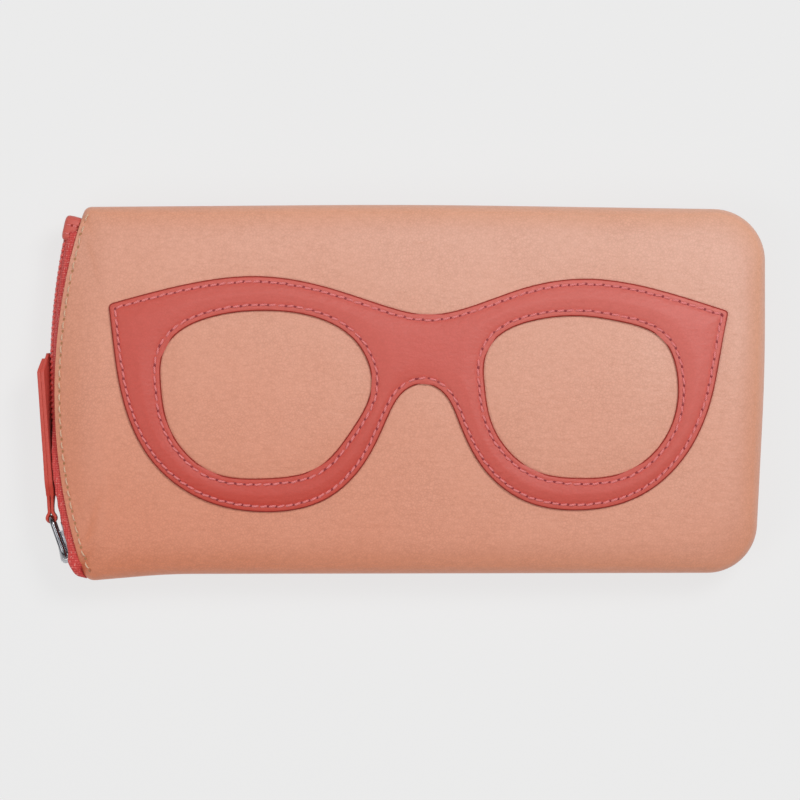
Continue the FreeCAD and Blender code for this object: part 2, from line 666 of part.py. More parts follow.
os.makedirs("parts", exist_ok=True)
for node, shape in build().items():
    box_mm = shape.BoundBox
    print(f"{node}: {len(shape.Solids)} solids, {shape.Volume:.1f} mm3, valid {shape.isValid()},"
          f" x {box_mm.XMin:.1f} {box_mm.XMax:.1f} y {box_mm.YMin:.1f} {box_mm.YMax:.1f}"
          f" z {box_mm.ZMin:.1f} {box_mm.ZMax:.1f}")  # fmt: skip
    shape.exportStep(f"parts/{node}.step")
print("ring pivot", pivot_point(), "ring tip", ring_tip())
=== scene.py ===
"""Looks of the soft zipped eyeglasses case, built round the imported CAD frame.

Lengths here are millimetres and heights are measured from the seam between the front and the back, unless a
name ends in _m. Every mesh goes through build_mesh(), which puts it in the frame's metres.
"""

import json
import math

import bmesh
import bpy
import numpy as np
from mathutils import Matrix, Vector, noise
from mathutils.bvhtree import BVHTree
from mathutils.geometry import delaunay_2d_cdt
from mathutils.kdtree import KDTree


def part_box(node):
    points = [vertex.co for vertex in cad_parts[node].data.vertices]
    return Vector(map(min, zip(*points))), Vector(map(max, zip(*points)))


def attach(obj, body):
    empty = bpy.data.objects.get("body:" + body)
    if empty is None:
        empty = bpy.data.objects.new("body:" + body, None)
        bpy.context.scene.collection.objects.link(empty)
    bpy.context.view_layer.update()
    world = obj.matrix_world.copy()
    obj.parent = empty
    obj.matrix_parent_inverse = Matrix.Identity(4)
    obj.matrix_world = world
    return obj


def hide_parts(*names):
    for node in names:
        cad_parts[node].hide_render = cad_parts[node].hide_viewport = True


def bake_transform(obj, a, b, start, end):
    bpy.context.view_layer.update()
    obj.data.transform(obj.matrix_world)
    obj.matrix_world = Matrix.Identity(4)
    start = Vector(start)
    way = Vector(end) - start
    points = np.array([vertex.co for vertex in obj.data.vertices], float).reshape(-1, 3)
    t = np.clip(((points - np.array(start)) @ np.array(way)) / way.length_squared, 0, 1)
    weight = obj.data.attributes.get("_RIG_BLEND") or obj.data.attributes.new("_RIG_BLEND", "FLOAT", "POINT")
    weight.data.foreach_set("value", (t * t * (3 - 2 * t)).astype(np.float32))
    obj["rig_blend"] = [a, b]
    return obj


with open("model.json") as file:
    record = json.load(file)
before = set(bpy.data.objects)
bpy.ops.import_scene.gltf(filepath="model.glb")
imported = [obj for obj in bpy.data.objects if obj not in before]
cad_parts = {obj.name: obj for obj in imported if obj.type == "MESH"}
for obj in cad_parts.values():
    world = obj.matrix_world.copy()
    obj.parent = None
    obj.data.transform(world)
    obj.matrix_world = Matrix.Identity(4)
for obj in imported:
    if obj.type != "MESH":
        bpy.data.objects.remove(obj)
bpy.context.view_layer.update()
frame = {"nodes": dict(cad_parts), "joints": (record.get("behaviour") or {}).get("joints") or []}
MM = 0.001
NODES = frame["nodes"]
JOINTS = {joint["name"]: joint for joint in frame["joints"]}


def node_box(name):
    """A CAD node's lowest and highest corners, in millimetres."""
    low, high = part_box(name)
    return low / MM, high / MM


# Case body. The corners are part.py's: (x, y, radius), and how the radius changes per millimetre of inset, up
# to SHALLOW millimetres in and beyond it.
SHALLOW = 3.0
SEAM_Z = (node_box("back_panel")[1].z + node_box("front_panel")[0].z) / 2
FRONT_DEPTH = node_box("front_panel")[1].z - SEAM_Z
BACK_DEPTH = SEAM_Z
CROWN_RADIUS = 250.0
CASE_CORNERS = [
    (-78.1, 44.4, 2.0, 0.6, -0.1),
    (0.0, 45.0, 2000.0, -1.0, -1.0),
    (85.4, 43.7, 12.5, 0.1, 0.1),
    (85.4, 5.0, 500.0, -1.0, -26.0),
    (82.9, -43.6, 12.0, 0.1, 0.1),
    (-58.0, -43.9, 150.0, -7.0, -7.0),
    (-78.1, -45.6, 3.0, 0.5, -0.2),
    (-90.3, 0.0, 139.0, -1.0, -6.8),
]
CORNER_STEPS = (10, 6, 18, 6, 18, 8, 10, 64)
SIDE_STEPS = (36, 40, 14, 14, 66, 8, 8, 8)
MOUTH_RADIUS = 139.0
MOUTH_CENTRE_X = MOUTH_RADIUS - 85.3
SLOT_HALF_HEIGHT = 5.5
SLOT_HALF_LENGTH = 42.5
ROLL = 9.0
ROLL_POWER = 2.3
MOUTH_ROLL = 14.0
LEATHER = 1.2
SEAM_GAP = 0.12

# Zip
ZIP_PIVOT = Vector(JOINTS["slider_travel"]["pos_m"]) / MM
ZIP_RADIUS = ZIP_PIVOT.x - node_box("zip_coil_back")[0].x
COIL_LOW_Y, COIL_HIGH_Y = node_box("zip_coil_back")[0].y, node_box("zip_end_tab")[0].y
COIL_PITCH = 1.35
COIL_SHOWN = 1.6

# How far the mouth opens along its length: shut at the slider's open end and at the foot of the mouth
OPEN_HIGH_Y = 27.0
OPEN_LOW_Y = -44.5


# ---------------------------------------------------------------- meshes


def build_mesh(name, points, faces, material):
    """A smooth mesh object from points in millimetres, with z measured from the seam."""
    points = np.asarray(points, float)
    lifted = (points + np.array([0.0, 0.0, SEAM_Z])) * MM
    mesh = bpy.data.meshes.new(name)
    mesh.from_pydata(lifted.tolist(), [], [tuple(int(i) for i in face) for face in faces])
    mesh.update()
    mesh.shade_smooth()
    piece = bpy.data.objects.new(name, mesh)
    bpy.context.scene.collection.objects.link(piece)
    mesh.materials.append(material)
    return piece


def face_outward(piece):
    """Makes the faces' sides agree, looking outwards."""
    shape = bmesh.new()
    shape.from_mesh(piece.data)
    bmesh.ops.recalc_face_normals(shape, faces=shape.faces)
    shape.to_mesh(piece.data)
    shape.free()
    return piece


def grid_faces(rows, columns, closed=False):
    """Quads over rows x columns points, numbered row by row. closed joins the last column to the first."""
    faces = []
    for row in range(rows - 1):
        for column in range(columns if closed else columns - 1):
            here = row * columns
            after = here + columns
            onward = (column + 1) % columns
            faces.append((here + column, here + onward, after + onward, after + column))
    return faces


def capped_faces(rows, columns):
    """Faces of a closed tube of rows x columns points, with a flat cap at each end."""
    faces = grid_faces(rows, columns, closed=True)
    faces.append(tuple(range(columns))[::-1])
    faces.append(tuple(range((rows - 1) * columns, rows * columns)))
    return faces


def welded(mesh):
    """A mesh's shape with its doubled corners joined, to be read and then freed."""
    shape = bmesh.new()
    shape.from_mesh(mesh)
    bmesh.ops.remove_doubles(shape, verts=shape.verts, dist=1e-6)
    shape.verts.ensure_lookup_table()
    return shape


class Heap:
    """Points and faces of many small pieces, gathered into one mesh."""

    def __init__(self):
        self.points = []
        self.faces = []

    def add(self, points, faces):
        start = len(self.points)
        self.points.extend([tuple(p) for p in points])
        self.faces.extend([tuple(start + i for i in face) for face in faces])


def tube(path, radius, sides, up=(0.0, 0.0, 1.0)):
    """Points and faces of a round tube along a path, ends closed. radius is one number or one per point."""
    path = np.asarray(path, float)
    count = len(path)
    radii = np.full(count, radius) if np.isscalar(radius) else np.asarray(radius, float)
    tangents = np.gradient(path, axis=0)
    tangents /= np.linalg.norm(tangents, axis=1)[:, None]
    up = np.asarray(up, float)
    if abs(tangents[0] @ up) > 0.9:
        up = np.array([1.0, 0.0, 0.0])
    points = []
    for i in range(count):
        side = np.cross(tangents[i], up)
        side /= np.linalg.norm(side)
        up = np.cross(side, tangents[i])
        for k in range(sides):
            angle = 2 * math.pi * k / sides
            points.append(path[i] + radii[i] * (math.cos(angle) * side + math.sin(angle) * up))
    return points, capped_faces(count, sides)


def plan_tree(points):
    """A search tree of plan points."""
    tree = KDTree(len(points))
    for i, p in enumerate(points):
        tree.insert((p[0], p[1], 0.0), i)
    tree.balance()
    return tree


def distances(points, tree):
    """Distance in plan from each point to the nearest point of a tree."""
    return np.array([tree.find((p[0], p[1], 0.0))[2] for p in points])


def staggered(edge, spacing, start=(0.0, 0.0)):
    """Plan points in a triangular pattern over an edge's box, begun start spacings in from its corner."""
    low, high = edge.min(0), edge.max(0)
    points = []
    for j, y in enumerate(np.arange(low[1] + spacing * start[1], high[1], spacing * math.sqrt(3) / 2)):
        for x in np.arange(low[0] + spacing * (start[0] + 0.5 * (j % 2)), high[0], spacing):
            points.append((x, y))
    return np.array(points)


# ---------------------------------------------------------------- shape of the case


def ring_at(inset):
    """The case's outline moved in by inset, as points that keep their order and number."""
    moved = []
    count = len(CASE_CORNERS)
    for i, (x, y, radius, near, far) in enumerate(CASE_CORNERS):
        before = Vector(CASE_CORNERS[i - 1][:2])
        here = Vector((x, y))
        after = Vector(CASE_CORNERS[(i + 1) % count][:2])
        way_in = (here - before).normalized()
        way_out = (after - here).normalized()
        normal_in = Vector((way_in.y, -way_in.x))
        bisector = (normal_in + Vector((way_out.y, -way_out.x))).normalized()
        radius += near * min(inset, SHALLOW) + far * max(0.0, inset - SHALLOW)
        moved.append((here + bisector * (inset / bisector.dot(normal_in)), radius))
    arcs = []
    for i, (here, radius) in enumerate(moved):
        back = (moved[i - 1][0] - here).normalized()
        ahead = (moved[(i + 1) % count][0] - here).normalized()
        half = back.angle(ahead) / 2
        centre = here + (back + ahead).normalized() * (radius / math.sin(half))
        start = here + back * (radius / math.tan(half))
        end = here + ahead * (radius / math.tan(half))
        arms = (start - centre, end - centre)
        steps = CORNER_STEPS[i]
        points = []
        for k in range(steps + 1):
            arm = arms[0].slerp(arms[1], k / steps)
            points.append(centre + arm.normalized() * radius)
        arcs.append(points)
    loop = []
    for i, points in enumerate(arcs):
        loop.extend(points)
        start, end = points[-1], arcs[(i + 1) % count][0]
        for k in range(1, SIDE_STEPS[i]):
            loop.append(start.lerp(end, k / SIDE_STEPS[i]))
    return np.array([tuple(p) for p in loop])


RING_INSETS = np.array([-1.0, 0.0, 0.5, 1.0, 2.0, 3.0, 4.5, 6.0, 7.5, 9.0, 11.0, 13.0, 15.0, 17.5, 20.0])
RINGS = np.array([ring_at(inset) for inset in RING_INSETS])
OUTLINE = RINGS[1]


def inset_points(insets):
    """One plan point for each column of the outline, each moved in by its own inset."""
    insets = np.clip(insets, RING_INSETS[0], RING_INSETS[-1])
    upper = np.clip(np.searchsorted(RING_INSETS, insets), 1, len(RING_INSETS) - 1)
    share = (insets - RING_INSETS[upper - 1]) / (RING_INSETS[upper] - RING_INSETS[upper - 1])
    columns = np.arange(len(insets))
    return RINGS[upper - 1, columns] * (1 - share)[:, None] + RINGS[upper, columns] * share[:, None]


def slot_height(y):
    """Half the height of the mouth's slot at a place along it, and 0 beyond its ends."""
    beyond = np.maximum(0.0, np.abs(y) - (SLOT_HALF_LENGTH - SLOT_HALF_HEIGHT))
    return np.sqrt(np.maximum(0.0, SLOT_HALF_HEIGHT**2 - beyond**2))


def ease(t):
    """Smooth step from 0 to 1."""
    t = np.clip(t, 0.0, 1.0)
    return t * t * (3 - 2 * t)


def signed_power(value, power):
    """A value's size raised to a power, with its sign kept: it squares off a circle as a superellipse."""
    return np.sign(value) * abs(value) ** power


def soft_noise(x, y, size, seed):
    """Gentle noise in plan, from about -1 to 1, with features of the given size."""
    flat = zip(np.ravel(x), np.ravel(y))
    return np.array([noise.noise(Vector((a / size, b / size, seed))) for a, b in flat]).reshape(np.shape(x))


def crown_height(x, y):
    """Height of the front, away from its rolled edges."""
    crown = FRONT_DEPTH - CROWN_RADIUS + np.sqrt(CROWN_RADIUS**2 - np.square(y))
    ends = 1.4 * ease((x - 52) / 34) + 0.9 * ease((-x - 50) / 34)
    return crown - ends


def back_height(x, y):
    """Depth of the back, which lies flat."""
    return np.full(np.shape(x), BACK_DEPTH)


def mouth_x(y):
    """Where the leather's outer edge stands at the mouth."""
    return MOUTH_CENTRE_X - np.sqrt(MOUTH_RADIUS**2 - np.square(y))


def zip_x(y):
    """Where the outer face of the coil stands."""
    return ZIP_PIVOT.x - np.sqrt(ZIP_RADIUS**2 - np.square(y - ZIP_PIVOT.y))


def on_mouth():
    """Which columns of the outline stand along the mouth's slot."""
    return (OUTLINE[:, 0] < -70) & (np.abs(OUTLINE[:, 1]) < SLOT_HALF_LENGTH)


MOUTH_COLUMNS = on_mouth()


def mouth_share():
    """For each column of the outline, how far its edge follows the mouth's own long slope, from 0 to 1."""
    return np.where(MOUTH_COLUMNS, ease((SLOT_HALF_LENGTH + 1.0 - np.abs(OUTLINE[:, 1])) / 9.0), 0.0)


def shell_rows(
    height_of, depth, thickness, setback=0.0, steps=15, roll=ROLL, lift=0.0, slope=MOUTH_ROLL, turned=True
):
    """Rows of points up a wall, from inside its lip, round the lip and up the rolled edge.

    depth moves the whole wall inwards, thickness is the sheet's own, and setback moves it back from the mouth.
    roll and slope are how far the edge takes to level out at the sewn sides and at the mouth. turned says
    whether the lip is turned in, as the leather's is, or cut, as the padding's and the lining's are.
    Returns the rows, lowest first, as (count, columns, 3).
    """
    columns = len(OUTLINE)
    slot = np.where(MOUTH_COLUMNS, slot_height(OUTLINE[:, 1]), 0.0)
    share = mouth_share()
    base = np.maximum(slot, SEAM_GAP) + lift + thickness / 2
    back = depth + setback * share
    probe = inset_points(back + roll * 0.4)
    start_share = np.clip(base / (height_of(probe[:, 0], probe[:, 1]) - depth), 0.0, 0.999)
    start_angle = np.arcsin(start_share ** (ROLL_POWER / 2))
    start_inset = roll * (1 - np.cos(start_angle) ** (2 / ROLL_POWER))

    def row(turn):
        """The row that is turn, from 0 to 1, of the way up the edge."""
        angle = start_angle + (math.pi / 2 - start_angle) * turn
        rolled = roll * (1 - np.maximum(np.cos(angle), 0.0) ** (2 / ROLL_POWER)) - start_inset
        sloped = slope * (1 - math.cos(math.pi / 2 * turn))
        plan = inset_points(back + (1 - share) * rolled + share * sloped)
        top = height_of(plan[:, 0], plan[:, 1]) - depth
        height = (1 - share) * top * np.sin(angle) ** (2 / ROLL_POWER)
        height += share * (base + (top - base) * math.sin(math.pi / 2 * turn) ** 2)
        return np.column_stack([plan, height])

    lip = thickness / 2
    rows = []
    for turn in (0.46, 0.34, 0.2) if turned else ():
        under = row(turn)
        under[:, :2] += (inset_points(back + thickness * 1.1) - inset_points(back)) * (1 - share)[:, None]
        under[:, 2] -= thickness * 1.25 * share
        rows.append(under)
    for angle in np.radians([0, 30, 60, 90, 120, 150]) if turned else ():
        plan = inset_points(back + lip + lip * math.cos(angle))
        rows.append(np.column_stack([plan, base - lip * math.sin(angle)]))
    for k in range(steps + 1):
        rows.append(row(k / steps))
    return np.array(rows)


def wall_mesh(name, material, height_of, side, depth, thickness, spacing, **options):
    """A whole wall sheet: its rolled edges and the field they enclose. side is 1 in front, -1 at the back."""
    rows = shell_rows(height_of, depth, thickness, **options)
    count, columns = rows.shape[:2]
    rim = rows[-1][:, :2]
    field = staggered(rim, spacing, (0.5, 1.0))
    field = field[inside(field, [rim]) & (distances(field, plan_tree(rim)) > spacing * 0.55)]
    plan = [Vector(p) for p in np.vstack([rim, field])]
    loop = [(i, (i + 1) % columns) for i in range(columns)]
    points, _, triangles, _, _, _ = delaunay_2d_cdt(plan, loop, [], 1, 1e-6)
    assert len(points) == len(plan)
    heights = height_of(field[:, 0], field[:, 1]) - depth
    first = (count - 1) * columns
    cloud = np.vstack([rows.reshape(-1, 3), np.column_stack([field, heights])])
    cloud[:, 2] *= side
    faces = [face[::-1] for face in grid_faces(count, columns, closed=True)]
    faces += [tuple(first + i for i in triangle) for triangle in triangles]
    piece = build_mesh(name, cloud, faces, material)
    if side < 0:
        piece.data.flip_normals()
    return piece


def inside(points, loops):
    """Which plan points lie inside the loops, counted even and odd."""
    result = np.zeros(len(points), bool)
    for loop in loops:
        nxt = np.roll(loop, -1, axis=0)
        for (x0, y0), (x1, y1) in zip(loop, nxt):
            if y0 == y1:
                continue
            crosses = (points[:, 1] > min(y0, y1)) & (points[:, 1] <= max(y0, y1))
            at = x0 + (points[:, 1] - y0) * (x1 - x0) / (y1 - y0)
            result ^= crosses & (at > points[:, 0])
    return result


# ---------------------------------------------------------------- applique outline, from the CAD piece


def cut_edges():
    """The applique's outer edge and its lens holes in plan, as closed loops, the longest first."""
    shape = welded(NODES["glasses_applique"].data)

    def is_top(vert):
        x, y, z = vert.co / MM
        return z - SEAM_Z - (FRONT_DEPTH - CROWN_RADIUS + math.sqrt(CROWN_RADIUS**2 - y * y)) > 0.5

    links = {}
    for edge in shape.edges:
        if len(edge.link_faces) == 2 and edge.calc_face_angle() > 0.7 and all(is_top(v) for v in edge.verts):
            a, b = edge.verts
            links.setdefault(a.index, []).append(b)
            links.setdefault(b.index, []).append(a)
    loops = []
    seen = set()
    for start in sorted(links):
        if start in seen:
            continue
        loop, here = [], start
        while here not in seen:
            seen.add(here)
            vert = shape.verts[here]
            loop.append((vert.co.x / MM, vert.co.y / MM))
            onward = [v.index for v in links[here] if v.index not in seen]
            if not onward:
                break
            here = onward[0]
        loops.append(np.array(loop))
    shape.free()
    return sorted(loops, key=lambda loop: -np.ptp(loop[:, 0]))


def resample(loop, spacing):
    """A closed loop as evenly spaced points, turning anticlockwise."""
    closed = np.vstack([loop, loop[:1]])
    lengths = np.concatenate([[0], np.cumsum(np.linalg.norm(np.diff(closed, axis=0), axis=1))])
    count = int(lengths[-1] / spacing)
    at = np.linspace(0, lengths[-1], count, endpoint=False)
    even = np.column_stack([np.interp(at, lengths, closed[:, k]) for k in (0, 1)])
    nxt = np.roll(even, -1, axis=0)
    area = np.sum(even[:, 0] * nxt[:, 1] - nxt[:, 0] * even[:, 1])
    return even if area > 0 else even[::-1]


def loop_normals(loop):
    """Unit vectors to the left of an anticlockwise loop, so they point inside it."""
    along = np.roll(loop, -1, axis=0) - np.roll(loop, 1, axis=0)
    left = np.column_stack([-along[:, 1], along[:, 0]])
    return left / np.linalg.norm(left, axis=1)[:, None]


EDGE_SPACING = 0.5
EDGE_SEARCH_SPACING = 0.15
CORNER_SOFTENING = 14


def rounded_loop(loop):
    """A closed loop with its sharp corners worn round."""
    even = resample(loop, EDGE_SPACING / 2)
    for _ in range(CORNER_SOFTENING):
        even = (np.roll(even, 1, axis=0) + 2 * even + np.roll(even, -1, axis=0)) / 4
    return even


GLASSES_LOOPS = [rounded_loop(loop) for loop in cut_edges()]
FINE_LOOPS = [resample(loop, EDGE_SPACING) for loop in GLASSES_LOOPS]
EDGE_TREE = plan_tree(np.vstack([resample(loop, EDGE_SEARCH_SPACING) for loop in GLASSES_LOOPS]))


def front_height(x, y):
    """Height of the front leather: its crown, its softness, and how the applique's seam draws it in."""
    shape = np.shape(x)
    flat = np.column_stack([np.ravel(x), np.ravel(y)])
    away = distances(flat, EDGE_TREE).reshape(shape)
    drawn_in = 0.32 * np.exp(-np.square(away / 3.2))
    soft = 0.22 * soft_noise(x, y, 38, 3.1) + 0.07 * soft_noise(x, y, 13, 8.4)
    return crown_height(x, y) - drawn_in + soft


STITCH_MARGIN = 1.4
EDGE_BEVEL = 0.30
APPLIQUE_THICKNESS = 1.0


def applique_lift(away):
    """Height of the applique's face above the front leather, by the distance to its nearest edge."""
    bevel = 0.34 * (1 - ease(away / 0.8))
    groove = 0.28 * np.exp(-np.square((away - STITCH_MARGIN) / 0.42))
    puff = 0.30 * ease((away - STITCH_MARGIN) / 4.0)
    return APPLIQUE_THICKNESS - bevel - groove + puff


def applique_mesh(material, edge_material):
    """The glasses-shaped leather piece: a face, puffed between its stitches, and its cut edges."""
    field = staggered(FINE_LOOPS[0], 0.55)
    away = distances(field, EDGE_TREE)
    keep = inside(field, FINE_LOOPS) & (away > EDGE_BEVEL + 0.3)
    field, away = field[keep], away[keep]
    plan = []
    constraints = []
    for i, loop in enumerate(FINE_LOOPS):
        first = len(plan)
        inward = loop_normals(loop) * (1 if i == 0 else -1)
        plan.extend(loop + inward * EDGE_BEVEL)
        constraints += [(first + k, first + (k + 1) % len(loop)) for k in range(len(loop))]
    rim_count = len(plan)
    plan = np.vstack([plan, field])
    _, _, triangles, _, _, _ = delaunay_2d_cdt([Vector(p) for p in plan], constraints, [], 0, 1e-7)
    triangles = np.array(triangles)
    centres = plan[triangles].mean(axis=1)
    rim_only = (triangles < rim_count).all(axis=1)
    good = ~rim_only
    good[rim_only] = inside(centres[rim_only], FINE_LOOPS)
    triangles = triangles[good]
    every_away = np.concatenate([np.full(rim_count, EDGE_BEVEL), away])
    ground = front_height(plan[:, 0], plan[:, 1])
    top = np.column_stack([plan, ground + applique_lift(every_away)])
    heap = Heap()
    heap.add(top, triangles)
    start = 0
    edge_faces = []
    for loop in FINE_LOOPS:
        count = len(loop)
        base = front_height(loop[:, 0], loop[:, 1])
        rows = [top[start : start + count]]
        for lift in (0.6, 0.3, -0.25):
            rows.append(np.column_stack([loop, base + lift]))
        first = len(heap.points)
        heap.points.extend([tuple(p) for row in rows[1:] for p in row])
        for r in range(3):
            above = start if r == 0 else first + (r - 1) * count
            below = first + r * count
            for k in range(count):
                nxt = (k + 1) % count
                edge_faces.append(len(heap.faces))
                heap.faces.append((above + k, above + nxt, below + nxt, below + k))
        start += count
    piece = build_mesh("glasses_applique_leather", heap.points, heap.faces, material)
    piece.data.materials.append(edge_material)
    for index in edge_faces:
        piece.data.polygons[index].material_index = 1
    return face_outward(piece)


# ---------------------------------------------------------------- zip


def zip_point(along, out, z):
    """A point by the zip's arc: along it from its outermost point, out from the coil, above the seam."""
    angle = along / ZIP_RADIUS
    reach = ZIP_RADIUS + out
    return (ZIP_PIVOT.x - reach * math.cos(angle), ZIP_PIVOT.y + reach * math.sin(angle), z)


def along_at(y):
    """How far along the zip's arc a given y lies."""
    return ZIP_RADIUS * math.asin((y - ZIP_PIVOT.y) / ZIP_RADIUS)


def coil_mesh(name, material, cord_material, side):
    """One row of the coil: a nylon filament wound in flattened turns round a filler cord, across the seam."""
    low, high = along_at(COIL_LOW_Y), along_at(COIL_HIGH_Y)
    filament = 0.44
    half_depth = COIL_SHOWN / 2 - filament
    z_low, z_high = -0.45, 2.45 - filament
    steps = 14
    turns = int((high - low) / COIL_PITCH)
    path = []
    for k in range(turns * steps + 1):
        turn = 2 * math.pi * k / steps
        across = math.cos(turn)
        height = math.sin(turn)
        squared = 1 + 0.12 * math.cos(4 * turn)
        wound = k / steps + (0.5 if side > 0 else 0.0) - 0.22 * math.sin(2 * turn)
        along = low + COIL_PITCH * wound
        z = (z_low + z_high) / 2 + (z_high - z_low) / 2 * height * squared
        path.append(zip_point(along, -COIL_SHOWN / 2 + half_depth * across / squared, side * z))
    heap = Heap()
    heap.add(*tube(path, filament, 8))
    coil_faces = len(heap.faces)
    core = [zip_point(along, -COIL_SHOWN / 2 - 0.05, side * 0.95) for along in np.linspace(low, high, 90)]
    heap.add(*tube(core, 0.62, 10))
    piece = build_mesh(name, heap.points, heap.faces, material)
    piece.data.materials.append(cord_material)
    for face in piece.data.polygons[coil_faces:]:
        face.material_index = 1
    return face_outward(piece)


TAPE_LOW_Y, TAPE_HIGH_Y = -44.7, 38.4


def tape_section(y):
    """The tape's middle across its width at a place along it, as x and height above the seam."""
    lip = float(slot_height(np.array(y)))
    edge = float(mouth_x(np.array(y)))
    coil = float(zip_x(np.array(max(y, -43.0))))
    tuck = float(ease((SLOT_HALF_LENGTH - abs(y)) / 5.0))
    share = float(ease((-1.0 - y) / 20.0))
    bulge = 1.9 * share + 0.8 * float(ease((-37.5 - y) / 3.5))
    tucked = 0.15 + 0.6 * float(ease((lip - 2.0) / 3.0))
    round_off = math.sqrt(max(0.0, 1 - max(0.0, (-41.3 - y) / 3.4) ** 2))
    crest = (2.95 + 1.45 * share) * round_off + 0.1

    def drawn(x):
        return edge + tucked - (edge + tucked - x) * round_off

    return [
        (drawn(coil + COIL_SHOWN + 0.1), 0.08),
        (drawn(coil + COIL_SHOWN + 0.05), 1.2 * round_off),
        (drawn(coil + COIL_SHOWN - 0.2 - 0.3 * bulge), 2.2 * round_off + 0.05),
        (drawn(min(coil + 1.15 - 0.75 * bulge, edge + 0.4 * tucked)), 0.8 * crest),
        (drawn(min(coil + 1.15 - bulge, edge + 0.4 * tucked)), crest),
        (drawn(min(coil + 1.6 - 0.7 * bulge, edge + 0.7 * tucked)), max(crest + 0.25, lip * 0.8)),
        (edge + tucked, max(lip - 0.25, 0.15)),
        (edge + 1.0 + 0.8 * tuck, lip + 0.2 * tuck),
        (edge + 1.2 + 2.2 * tuck, lip + 1.0 * tuck),
    ]


def tape_mesh(name, material, side):
    """Half of the zip's tape: behind the coil, then over it and in under the leather."""
    columns, across = 170, 30
    sections = []
    for i in range(columns):
        y = TAPE_LOW_Y + (TAPE_HIGH_Y - TAPE_LOW_Y) * i / (columns - 1)
        section = np.array(tape_section(y))
        fine = np.linspace(0, len(section) - 1, across)
        xs = np.interp(fine, range(len(section)), section[:, 0])
        zs = np.interp(fine, range(len(section)), section[:, 1])
        for _ in range(2):
            xs[1:-1] = (xs[:-2] + 2 * xs[1:-1] + xs[2:]) / 4
            zs[1:-1] = (zs[:-2] + 2 * zs[1:-1] + zs[2:]) / 4
        ripple = 0.07 * math.sin(y * 1.9 + 0.7 * side) * ease((zs - 2.6) / 2.0)
        sections.append(np.column_stack([xs + ripple, np.full(across, y), side * zs]))
    cloud = np.array(sections)
    piece = build_mesh(name, cloud.reshape(-1, 3), grid_faces(columns, across), material)
    return thicken(piece, 0.5)


def thicken(piece, thickness, offset=0.0):
    """Gives a sheet its thickness, in millimetres."""
    solid = piece.modifiers.new("thickness", "SOLIDIFY")
    solid.thickness = thickness * MM
    solid.offset = offset
    solid.use_even_offset = False
    return piece


def soften(piece, width, segments=2):
    """Rounds a hard piece's edges."""
    bevel = piece.modifiers.new("edges", "BEVEL")
    bevel.width = width * MM
    bevel.segments = segments
    bevel.limit_method = "ANGLE"
    bevel.angle_limit = math.radians(35)
    bevel.harden_normals = False
    return piece


# ---------------------------------------------------------------- stitches


def stitch_lines(node):
    """Each stitch of a CAD node: its middle and the unit vector along it."""
    shape = welded(NODES[node].data)
    seen = set()
    lines = []
    for vert in shape.verts:
        if vert.index in seen:
            continue
        island, reach = [], [vert]
        seen.add(vert.index)
        while reach:
            here = reach.pop()
            island.append(here.co / MM)
            for edge in here.link_edges:
                other = edge.other_vert(here)
                if other.index not in seen:
                    seen.add(other.index)
                    reach.append(other)
        cloud = np.array([tuple(p) for p in island])
        middle = cloud.mean(axis=0)
        _, _, axes = np.linalg.svd(cloud - middle)
        middle[2] -= SEAM_Z
        lines.append((middle, axes[0]))
    shape.free()
    return lines


# Needle holes are drawn as flat discs of painted shade: their size, lift and rise.
HOLE_LENGTH, HOLE_WIDTH, HOLE_LIFT, HOLE_RISE = 0.38, 0.31, 0.05, 0.06
STITCH_POINTS = 9
HOLE_POINTS = 10


def add_stitch(threads, holes, middle, along, up, length, radius, rise=0.35, pitch=None, slant=0.0):
    """One arched stitch and, after it, a flat disc of painted shade where its needle hole shows dark. slant
    turns the stitch a little off its row.

    threads and holes are the heaps to add them to, rise is the arch's height and pitch the row's.
    """
    middle, along, up = (np.asarray(v, float) for v in (middle, along, up))
    up = up / np.linalg.norm(up)
    along = along - up * (along @ up)
    along = along / np.linalg.norm(along)
    side = np.cross(up, along)
    lay = along + side * slant
    path = []
    radii = []
    for k in range(STITCH_POINTS):
        t = -1 + 2 * k / (STITCH_POINTS - 1)
        height = rise * (1 - abs(t) ** 3.0) - 0.16 * abs(t) ** 6
        path.append(middle + lay * (t * length / 2) + up * height)
        radii.append(radius * (1 - 0.25 * t**4))
    threads.add(*tube(path, np.array(radii), 8, up))
    centre = middle + along * ((pitch or length * 1.3) / 2) + up * HOLE_LIFT
    ring = []
    for k in range(HOLE_POINTS):
        angle = 2 * math.pi * k / HOLE_POINTS
        ring.append(centre + HOLE_LENGTH * math.cos(angle) * along + HOLE_WIDTH * math.sin(angle) * side)
    ring.append(centre + up * HOLE_RISE)
    holes.add(ring, [(k, (k + 1) % HOLE_POINTS, HOLE_POINTS) for k in range(HOLE_POINTS)])


def stitch_pieces(threads, holes, name, thread_material, holes_name, hole_shade_material):
    """A row's threads and the discs of painted shade at its needle holes, as two pieces."""
    row = face_outward(build_mesh(name, threads.points, threads.faces, thread_material))
    return row, build_mesh(holes_name, holes.points, holes.faces, hole_shade_material)


def surface_stitches(name, node, thread_material, hole_shade_material, radius=0.25, length=1.55, seed=1.0):
    """The applique's stitches, laid on its puffed face where the CAD has them, each a little out of line."""
    threads, holes = Heap(), Heap()
    for i, (middle, along) in enumerate(stitch_lines(node)):
        wander = 0.10 * math.sin(i * 2.7 + seed)
        across = np.array([-along[1], along[0], 0.0])
        spot = middle + across * wander * 0.5
        z = float(front_height(np.array(spot[0]), np.array(spot[1]))) + float(applique_lift(STITCH_MARGIN))
        slope = spot[1] / CROWN_RADIUS
        lean = np.array([along[0], along[1], 0.0]) + across * wander * 0.6
        size = length * (1 + 0.06 * math.sin(i * 1.3 + 2 * seed))
        place = (spot[0], spot[1], z + 0.07)
        add_stitch(threads, holes, place, lean, (0.0, slope, 1.0), size, radius, 0.26, 2.1, 0.14)
    return stitch_pieces(threads, holes, name, thread_material, name + "_hole_shade", hole_shade_material)


